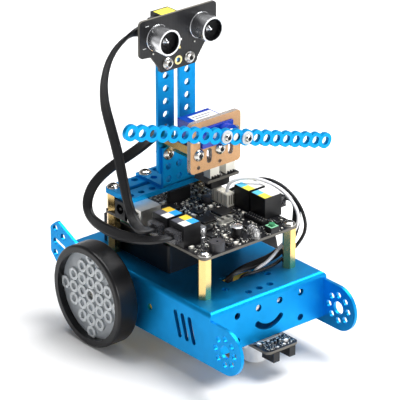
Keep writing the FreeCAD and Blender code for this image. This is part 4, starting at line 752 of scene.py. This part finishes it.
def make_hub_rings():
    """Whiter walls on the ring bosses of the milky hubs, on the 8 mm grid."""
    for side, sign in (("left", -1), ("right", 1)):
        boss = [(2.05, 0), (2.05, sign * 1.0), (2.2, sign * 1.1), (3.8, sign * 1.1), (3.95, sign * 1.0),
                (3.95, 0)]
        centre = [(4.6, 0), (4.45, sign * 1.0), (4.1, sign * 1.38), (2.75, sign * 1.38), (2.75, sign * 0.6)]
        bm = bmesh.new()
        for column in range(-3, 4):
            for line in range(-3, 4):
                if 0 < abs(column) + abs(line) <= 3:
                    place = (sign * HUB_FACE, 8 * column, AXLE_HEIGHT + 8 * line)
                    lathe(bm, place, "x", boss, 28)
        lathe(bm, (sign * HUB_FACE, 0, AXLE_HEIGHT), "x", centre, 40)
        from_bmesh(side + "_hub_rings", bm, M["milk_ring"], body=side + "_wheel")


make_hub_rings()


def make_rings():
    """Plated rings round holes, and the white pads printed on the line board."""
    bm = bmesh.new()
    ring(bm, (0, HEAD_FACE, HEAD_HOLE), "y", 1.6, 2.7, -0.08)
    from_bmesh("gold_ring", bm, M["gold"])
    bm = bmesh.new()
    for x in (-32, 32):
        ring(bm, (x, FRONT, BOARD_TOP), "z", 2.1, 3.95, 0.06)
    from_bmesh("pad_rings", bm, M["tin"])
    bm = bmesh.new()
    for x in SCREW_COLUMNS:
        ring(bm, (x, -87.0, LINE_TOP), "z", 3.1, 4.6, 0.06)
    add_block(bm, (-8, -91.5, LINE_TOP), (8, -88.6, LINE_TOP + 0.04))
    from_bmesh("line_silk", bm, M["mark_white"], smooth=0)


make_rings()


# ---------------------------------------------------------------- the boards' small parts

# each chip's middle, its two sides and its height
CHIPS = [
    (13.0, -35.2, 10.0, 10.0, 1.5), (-2.0, -37.0, 9.0, 9.0, 1.4), (-10.0, -47.0, 7.0, 5.0, 1.6),
    (-13.5, -56.0, 4.0, 6.0, 1.5), (2.0, -27.0, 5.0, 4.0, 1.5), (-12.0, -31.0, 6.0, 4.0, 1.5),
    (-13.6, -70.5, 3.0, 5.0, 2.0), (28.0, -66.5, 4.0, 2.0, 1.2), (10.0, -58.0, 2.0, 4.0, 1.2),
    (-8.0, -12.0, 10.0, 8.0, 2.0),
]
# the ranges of x and y that larger parts and screw heads take on the controller board
KEEP_OUT = [
    (-36, -22.8, -59, -30), (24.5, 38, -59, -31), (18, 24, -64, -46), (-37.5, -22, -22.5, 1.5),
    (19.5, 26, -32, -16),
    (-26.8, -16.8, -76, -66), (-5.5, 2.2, -69, -61.2), (2.6, 10.2, -75.6, -64.4), (14.6, 21.4, -76, -69),
    (-36, -27.6, -76, -67.6), (27.6, 36, -76, -67.6), (27.5, 36, 5.6, 14.2), (-36, -27.5, 5.6, 14.2),
    (-0.4, 11.2, -48.6, -43.4), (-21, -14.2, -42, -35), (-21.4, -14.6, -56, -49), (12, 19.2, -21, -13.8),
    (-26, -15, 8.8, 14.1), (-3.2, 13.2, -6.6, -3.4),
]
for x, y, a, b, high in CHIPS:
    KEEP_OUT.append((x - a / 2 - 0.9, x + a / 2 + 0.9, y - b / 2 - 0.9, y + b / 2 + 0.9))


def scatter(seed, count, span, keep_out, top):
    """Little chip resistors and capacitors set square on the board, clear of everything larger."""
    rng = random.Random(seed)
    taken, bodies, ends, pale = list(keep_out), [], [], []
    for _ in range(count):
        x, y = rng.uniform(span[0], span[1]), rng.uniform(span[2], span[3])
        long, wide, high = rng.choice([(2.0, 1.25, 0.55), (1.6, 0.8, 0.5), (1.6, 0.8, 0.8), (3.2, 1.6, 1.4)])
        along_x = rng.random() < 0.5
        a, b = (long, wide) if along_x else (wide, long)
        box = (x - a / 2 - 0.25, x + a / 2 + 0.25, y - b / 2 - 0.25, y + b / 2 + 0.25)
        clash = any(box[0] < t[1] and box[1] > t[0] and box[2] < t[3] and box[3] > t[2] for t in taken)
        if clash or box[0] < span[0] or box[1] > span[1] or box[2] < span[2] or box[3] > span[3]:
            continue
        taken.append(box)
        low, size = (x - a / 2, y - b / 2), (a, b)
        cap = 0.22 * long
        inner = [(low[0] + (cap if along_x else 0), low[1] + (0 if along_x else cap), top),
                 (low[0] + a - (cap if along_x else 0), low[1] + b - (0 if along_x else cap), top + high)]
        (pale if rng.random() < 0.35 else bodies).append(inner)
        if along_x:
            ends.append(((low[0], low[1], top), (low[0] + cap, low[1] + b, top + high * 1.04)))
            ends.append(((low[0] + a - cap, low[1], top), (low[0] + a, low[1] + b, top + high * 1.04)))
        else:
            ends.append(((low[0], low[1], top), (low[0] + a, low[1] + cap, top + high * 1.04)))
            ends.append(((low[0], low[1] + b - cap, top), (low[0] + a, low[1] + b, top + high * 1.04)))
    return bodies, ends, pale


def chip_legs(x, y, a, b, four):
    """Legs along two sides of a chip, or along all four."""
    pitch, low, high = 0.9, BOARD_TOP + 0.02, BOARD_TOP + 0.35
    legs = []
    for sign in (-1, 1):
        for step in range(int((b - 1) / pitch) + 1):
            along = y - b / 2 + 0.5 + step * pitch
            edge = x + sign * (a / 2 + 0.35)
            legs.append(((edge - 0.4, along - 0.17, low), (edge + 0.4, along + 0.17, high)))
        if four:
            for step in range(int((a - 1) / pitch) + 1):
                along = x - a / 2 + 0.5 + step * pitch
                edge = y + sign * (b / 2 + 0.35)
                legs.append(((along - 0.17, edge - 0.4, low), (along + 0.17, edge + 0.4, high)))
    return legs


def make_board_parts():
    """The chips, capacitors, lamps, headers and crystal on the controller board, and its small parts."""
    legs, packages = [], []
    for number, (x, y, a, b, high) in enumerate(CHIPS):
        packages.append(((x - a / 2, y - b / 2, BOARD_TOP + 0.1), (x + a / 2, y + b / 2, BOARD_TOP + high)))
        legs += chip_legs(x, y, a, b, four=number < 2)
    chips = blocks("chip_packages", packages, M["black"], bevel=0.00018)
    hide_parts("board_components")
    dots = bmesh.new()
    for x, y, a, b, high in CHIPS:
        add_round(dots, (x - a / 2 + 1, y - b / 2 + 1, BOARD_TOP + high), "z", 0.4, 0.03, segments=16)
    from_bmesh("chip_dots", dots, M["mark_grey"])
    blocks("chip_legs", legs, M["tin"])
    bodies, ends, pale = scatter(7, 2600, (-35, 35, -75, 13.2), KEEP_OUT, BOARD_TOP)
    blocks("resistor_bodies", bodies, M["black"], bevel=0.00006)
    blocks("resistor_ends", ends, M["tin"], bevel=0.00006)
    blocks("ceramic_bodies", pale, M["ivory"], bevel=0.00006)

    bm = bmesh.new()
    lathe(bm, (-1.7, -65.1, BOARD_TOP), "z", [(3.4, 0), (3.4, 0.7), (3.15, 1.0), (3.4, 1.3), (3.4, 6.3)])
    from_bmesh("electrolytic_sleeve", bm, M["black"])
    bm = bmesh.new()
    lathe(bm, (-1.7, -65.1, BOARD_TOP), "z", [(3.4, 6.3), (3.3, 6.75), (3.0, 6.9), (2.7, 6.8), (0, 6.8)])
    can = [(3, 0), (3, 0.9), (2.75, 1.1), (3, 1.4), (3, 6.1), (2.8, 6.5), (0, 6.45)]
    for x, y in ((-17.5, -38.5), (-18, -52.5)):
        lathe(bm, (x, y, BOARD_TOP), "z", can)
    from_bmesh("capacitor_cans", bm, M["can"])

    lamps = ((5.5, -72.9), (7.3, -67.2))
    dome = [(2.9, 0), (2.9, 0.9), (2.5, 1.0), (2.5, 3.4), (2.35, 4.3), (1.7, 5.2), (0.8, 5.7), (0, 5.8)]
    bm = bmesh.new()
    for x, y in lamps:
        lathe(bm, (x, y, BOARD_TOP), "z", dome)
    from_bmesh("clear_lamps", bm, M["lamp"])
    bm = bmesh.new()
    for x, y in lamps:
        add_block(bm, (x - 1.1, y - 0.5, BOARD_TOP), (x - 0.2, y + 0.5, BOARD_TOP + 3.6))
        add_block(bm, (x + 0.2, y - 0.4, BOARD_TOP), (x + 1.2, y + 0.4, BOARD_TOP + 3.0))
    from_bmesh("lamp_frames", bm, M["tin"], smooth=0)

    bm = bmesh.new()
    add_round(bm, (2.1, -46, BOARD_TOP), "z", 2.1, 3.1)
    add_round(bm, (8.7, -46, BOARD_TOP), "z", 2.1, 3.1)
    add_block(bm, (2.1, -48.1, BOARD_TOP), (8.7, -43.9, BOARD_TOP + 3.1))
    add_block(bm, (-0.2, -48.4, BOARD_TOP), (11, -43.6, BOARD_TOP + 0.5))
    from_bmesh("crystal_can", bm, M["tin"])

    header = [((18.5, -63.4 + 2.0 * n, BOARD_TOP), (23.5, -61.6 + 2.0 * n, BOARD_TOP + 2.5))
              for n in range(8)]
    blocks("pin_header", header, M["black"], bevel=0.0001)
    pins = [((x - 0.25, -62.75 + 2.0 * n, BOARD_TOP + 2.4), (x + 0.25, -62.25 + 2.0 * n, BOARD_TOP + 2.62))
            for n in range(8) for x in (19.7, 22.3)]
    blocks("header_pins", pins, M["tin"])
    blocks("rear_header", [((-3, -6.3, BOARD_TOP), (13, -3.7, BOARD_TOP + 8))], M["black"], bevel=0.0002)
    coil_base = [((12.4, -20.6, BOARD_TOP), (18.8, -14.2, BOARD_TOP + 0.8))]
    blocks("coil_base", coil_base, M["black"], bevel=0.0002)
    bm = bmesh.new()
    drum = [(2.4, 0.8), (2.6, 1.2), (2.6, 3.2), (3.1, 3.4), (3.1, 3.9), (2.8, 4.0), (0, 4.0)]
    lathe(bm, (15.6, -17.4, BOARD_TOP), "z", drum)
    from_bmesh("coil_drum", bm, M["grey"])
    feet = [((x - 0.6, y - 0.4, BOARD_TOP), (x + 0.6, y + 0.4, BOARD_TOP + 0.5))
            for x in (14.6, 21.4) for y in (-74.9, -70.3)]
    blocks("button_feet", feet, M["tin"])
    bm = bmesh.new()
    for y in (-27.9, -20.4):
        for step in range(5):
            rib = y - 3.2 + 1.35 * step
            add_block(bm, (19.7, rib, BOARD_TOP + 1), (20.1, rib + 0.7, BOARD_TOP + 7.6))
            add_block(bm, (20.4, rib + 0.1, BOARD_TOP + 8), (25, rib + 0.8, BOARD_TOP + 8.35))
    from_bmesh("connector_ribs", bm, M["ivory"], smooth=0)


make_board_parts()


# ---------------------------------------------------------------- adapter, line board, connectors and head


def make_small_boards():
    """What stands on the adapter board and on the line board."""
    keep = [(12, 24, -21, -14), (27, 36.4, -21, -14), (14.8, 28.4, -0.6, 14.1), (27.6, 36.4, 5.8, 14.1)]
    bodies, ends, pale = scatter(3, 160, (13, 36, -21.8, 13.6), keep, ADAPTER_TOP)
    blocks("adapter_resistors", bodies + pale, M["black"], bevel=0.00006)
    blocks("adapter_ends", ends, M["tin"], bevel=0.00006)
    teeth = []
    for left in (16, 28):
        for step in range(3):
            x = left + 1.0 + 2.1 * step
            teeth.append(((x, -22.0, ADAPTER_TOP), (x + 0.7, -20.4, ADAPTER_TOP + 1.4)))
    blocks("adapter_pins", teeth, M["black"])
    blocks("adapter_lower_socket", [((16, -21.4, 84.6), (30, -15.4, PLATE_TOP))], M["black"], bevel=0.0002)

    keep = [(-12, -4.2, -91.4, -83), (4.2, 12, -91.4, -83), (-11.9, 11.9, -91, -56)]
    bodies, ends, pale = scatter(11, 260, (-11.2, 11.2, -103.4, -91.6), keep, LINE_TOP)
    blocks("line_resistors", bodies, M["black"], bevel=0.00005)
    blocks("line_ends", ends, M["tin"], bevel=0.00005)
    blocks("line_ceramics", pale, M["white"], bevel=0.00005)
    eyes = (-5.45, 6.55)
    bm = bmesh.new()
    for x in eyes:
        for dx in (-1.1, 1.1):
            for dy in (-2.5, 2.5):
                add_round(bm, (x + dx, -99.4 + dy, LINE_TOP), "z", 0.45, 0.5, top=0.2, segments=12)
    from_bmesh("eye_solder", bm, M["tin"])
    bm = bmesh.new()
    for x in eyes:
        for dy in (-2.4, 2.4):
            add_round(bm, (x, -99.3 + dy, 11.42), "z", 1.6, 0.3, segments=24)
    from_bmesh("eye_lenses", bm, M["smoke"])


make_small_boards()


def make_connector_ribs():
    """Thin dark plates painted as the shade in the slots in the sides of the motor connectors, and the pale
    green frame round the button's cap.
    """
    low, high = BOARD_TOP + 1.3, BOARD_TOP + 7.1
    slots = []
    for start in (-31.4, -23.9):
        for n in range(3):
            y = start + 0.75 + 2.1 * n
            slots.append(((19.94, y, low), (20.1, y + 1.0, high)))
        for n in range(3):
            x = 20.9 + 1.6 * n
            slots.append(((x, start - 0.06, low), (x + 0.7, start + 0.1, high)))
    # the slots are not cut; these dark plates on the connector sides are painted shade
    blocks("connector_slot_shade", slots, M["slot_shade"], bevel=0.00003)
    low, high = BOARD_TOP + 3.55, BOARD_TOP + 3.8
    frame_bars = [((15.2, -75.4, low), (20.8, -74.4, high)), ((15.2, -70.8, low), (20.8, -69.8, high)),
                  ((15.2, -74.4, low), (16.2, -70.8, high)), ((19.8, -74.4, low), (20.8, -70.8, high))]
    blocks("button_frame", frame_bars, M["green_frame"], bevel=0.00008)


make_connector_ribs()


def make_plug_contacts():
    """Gilt blades in the tops of the plugs that the camera can see."""
    boxes = []
    for mouth, middle in LEFT_JACKS:
        for step in range(6):
            y = middle - 2.6 + 1.04 * step
            boxes.append(((mouth + 2.5, y - 0.15, 84.6), (mouth + 5.5, y + 0.15, 85.3)))
    mouth, middle = RIGHT_JACKS[0]
    for step in range(6):
        y = middle - 2.6 + 1.04 * step
        boxes.append(((mouth - 5.5, y - 0.15, 84.6), (mouth - 2.5, y + 0.15, 85.3)))
    blocks("plug_blades", boxes, M["gold"])


make_plug_contacts()


def make_head_marks():
    """Plain ticks, pads and a small lamp on the ranging board's face."""
    face = HEAD_FACE
    ticks = [((x, face - 0.06, z), (x + 2.4, face, z + 0.35))
             for x, z in ((-26, 179.5), (23, 177.2), (-24, 192.6))]
    blocks("head_ticks", ticks, M["mark_white"])
    blocks("head_lamp", [((1.0, face - 0.6, 178.6), (2.2, face, 179.8))], M["white"], bevel=0.0001)
    blocks("head_gold_pads", [((0.4, face - 0.08, 173.6), (1.5, face, 175.2))], M["gold"])
    pins = [((x - 0.4, face - 0.5, 174.9), (x + 0.4, face, 175.7)) for x in (-18.8, -11.8, 11.8, 18.8)]
    blocks("can_pins", pins, M["tin"])


make_head_marks()


# ---------------------------------------------------------------- floor and light


def make_stage():
    """A pale floor, a sky that is bright at the horizon and dim above, and three soft lamps."""
    mesh = bpy.data.meshes.new("floor")
    bm = bmesh.new()
    bmesh.ops.create_grid(bm, x_segments=1, y_segments=1, size=6)
    bm.to_mesh(mesh)
    bm.free()
    floor = bpy.data.objects.new("floor", mesh)
    floor.location = (0, 0, -0.0001)
    bpy.context.collection.objects.link(floor)
    s = Surface("pale_floor").set(Specular_IOR_Level=0.15)
    s.colour(s.ramp(s.noise(3, 2), [(0.3, (0.90, 0.90, 0.90)), (0.7, (0.93, 0.93, 0.93))]))
    s.roughness(s.levels(s.noise(8, 2), 0.55, 0.65))
    mesh.materials.append(s.material)

    world = bpy.data.worlds.new("studio")
    world.use_nodes = True
    tree = world.node_tree
    height = tree.nodes.new("ShaderNodeSeparateXYZ")
    tree.links.new(tree.nodes.new("ShaderNodeTexCoord").outputs["Generated"], height.inputs[0])
    ramp = tree.nodes.new("ShaderNodeValToRGB")
    stops = [(0.0, 0.75), (0.22, 0.95), (0.5, 0.30), (0.85, 0.16)]
    while len(ramp.color_ramp.elements) < len(stops):
        ramp.color_ramp.elements.new(0.5)
    for element, (place, level) in zip(ramp.color_ramp.elements, stops):
        element.position = place
        element.color = (level, level, level * 1.02, 1)
    tree.links.new(height.outputs["Z"], ramp.inputs["Fac"])
    tree.links.new(ramp.outputs["Color"], tree.nodes["Background"].inputs["Color"])
    tree.nodes["Background"].inputs["Strength"].default_value = 0.62
    bpy.context.scene.world = world

    def lamp(name, place, target, size, power):
        data = bpy.data.lights.new(name, "AREA")
        data.shape = "RECTANGLE"
        data.size, data.size_y = size
        data.energy = power
        light = bpy.data.objects.new(name, data)
        light.location = place
        aim = Vector(target) - Vector(place)
        light.rotation_euler = aim.to_track_quat("-Z", "Y").to_euler()
        bpy.context.collection.objects.link(light)

    lamp("key", (0.48, -0.22, 1.25), (0, 0, 0.08), (1.0, 0.8), 26)
    lamp("front", (0.25, -1.5, 0.55), (0, 0, 0.06), (0.8, 0.5), 9)
    lamp("top", (-0.15, 0.25, 1.3), (0, 0, 0.1), (0.5, 0.5), 6)
    bpy.context.scene.view_settings.view_transform = "Standard"


make_stage()
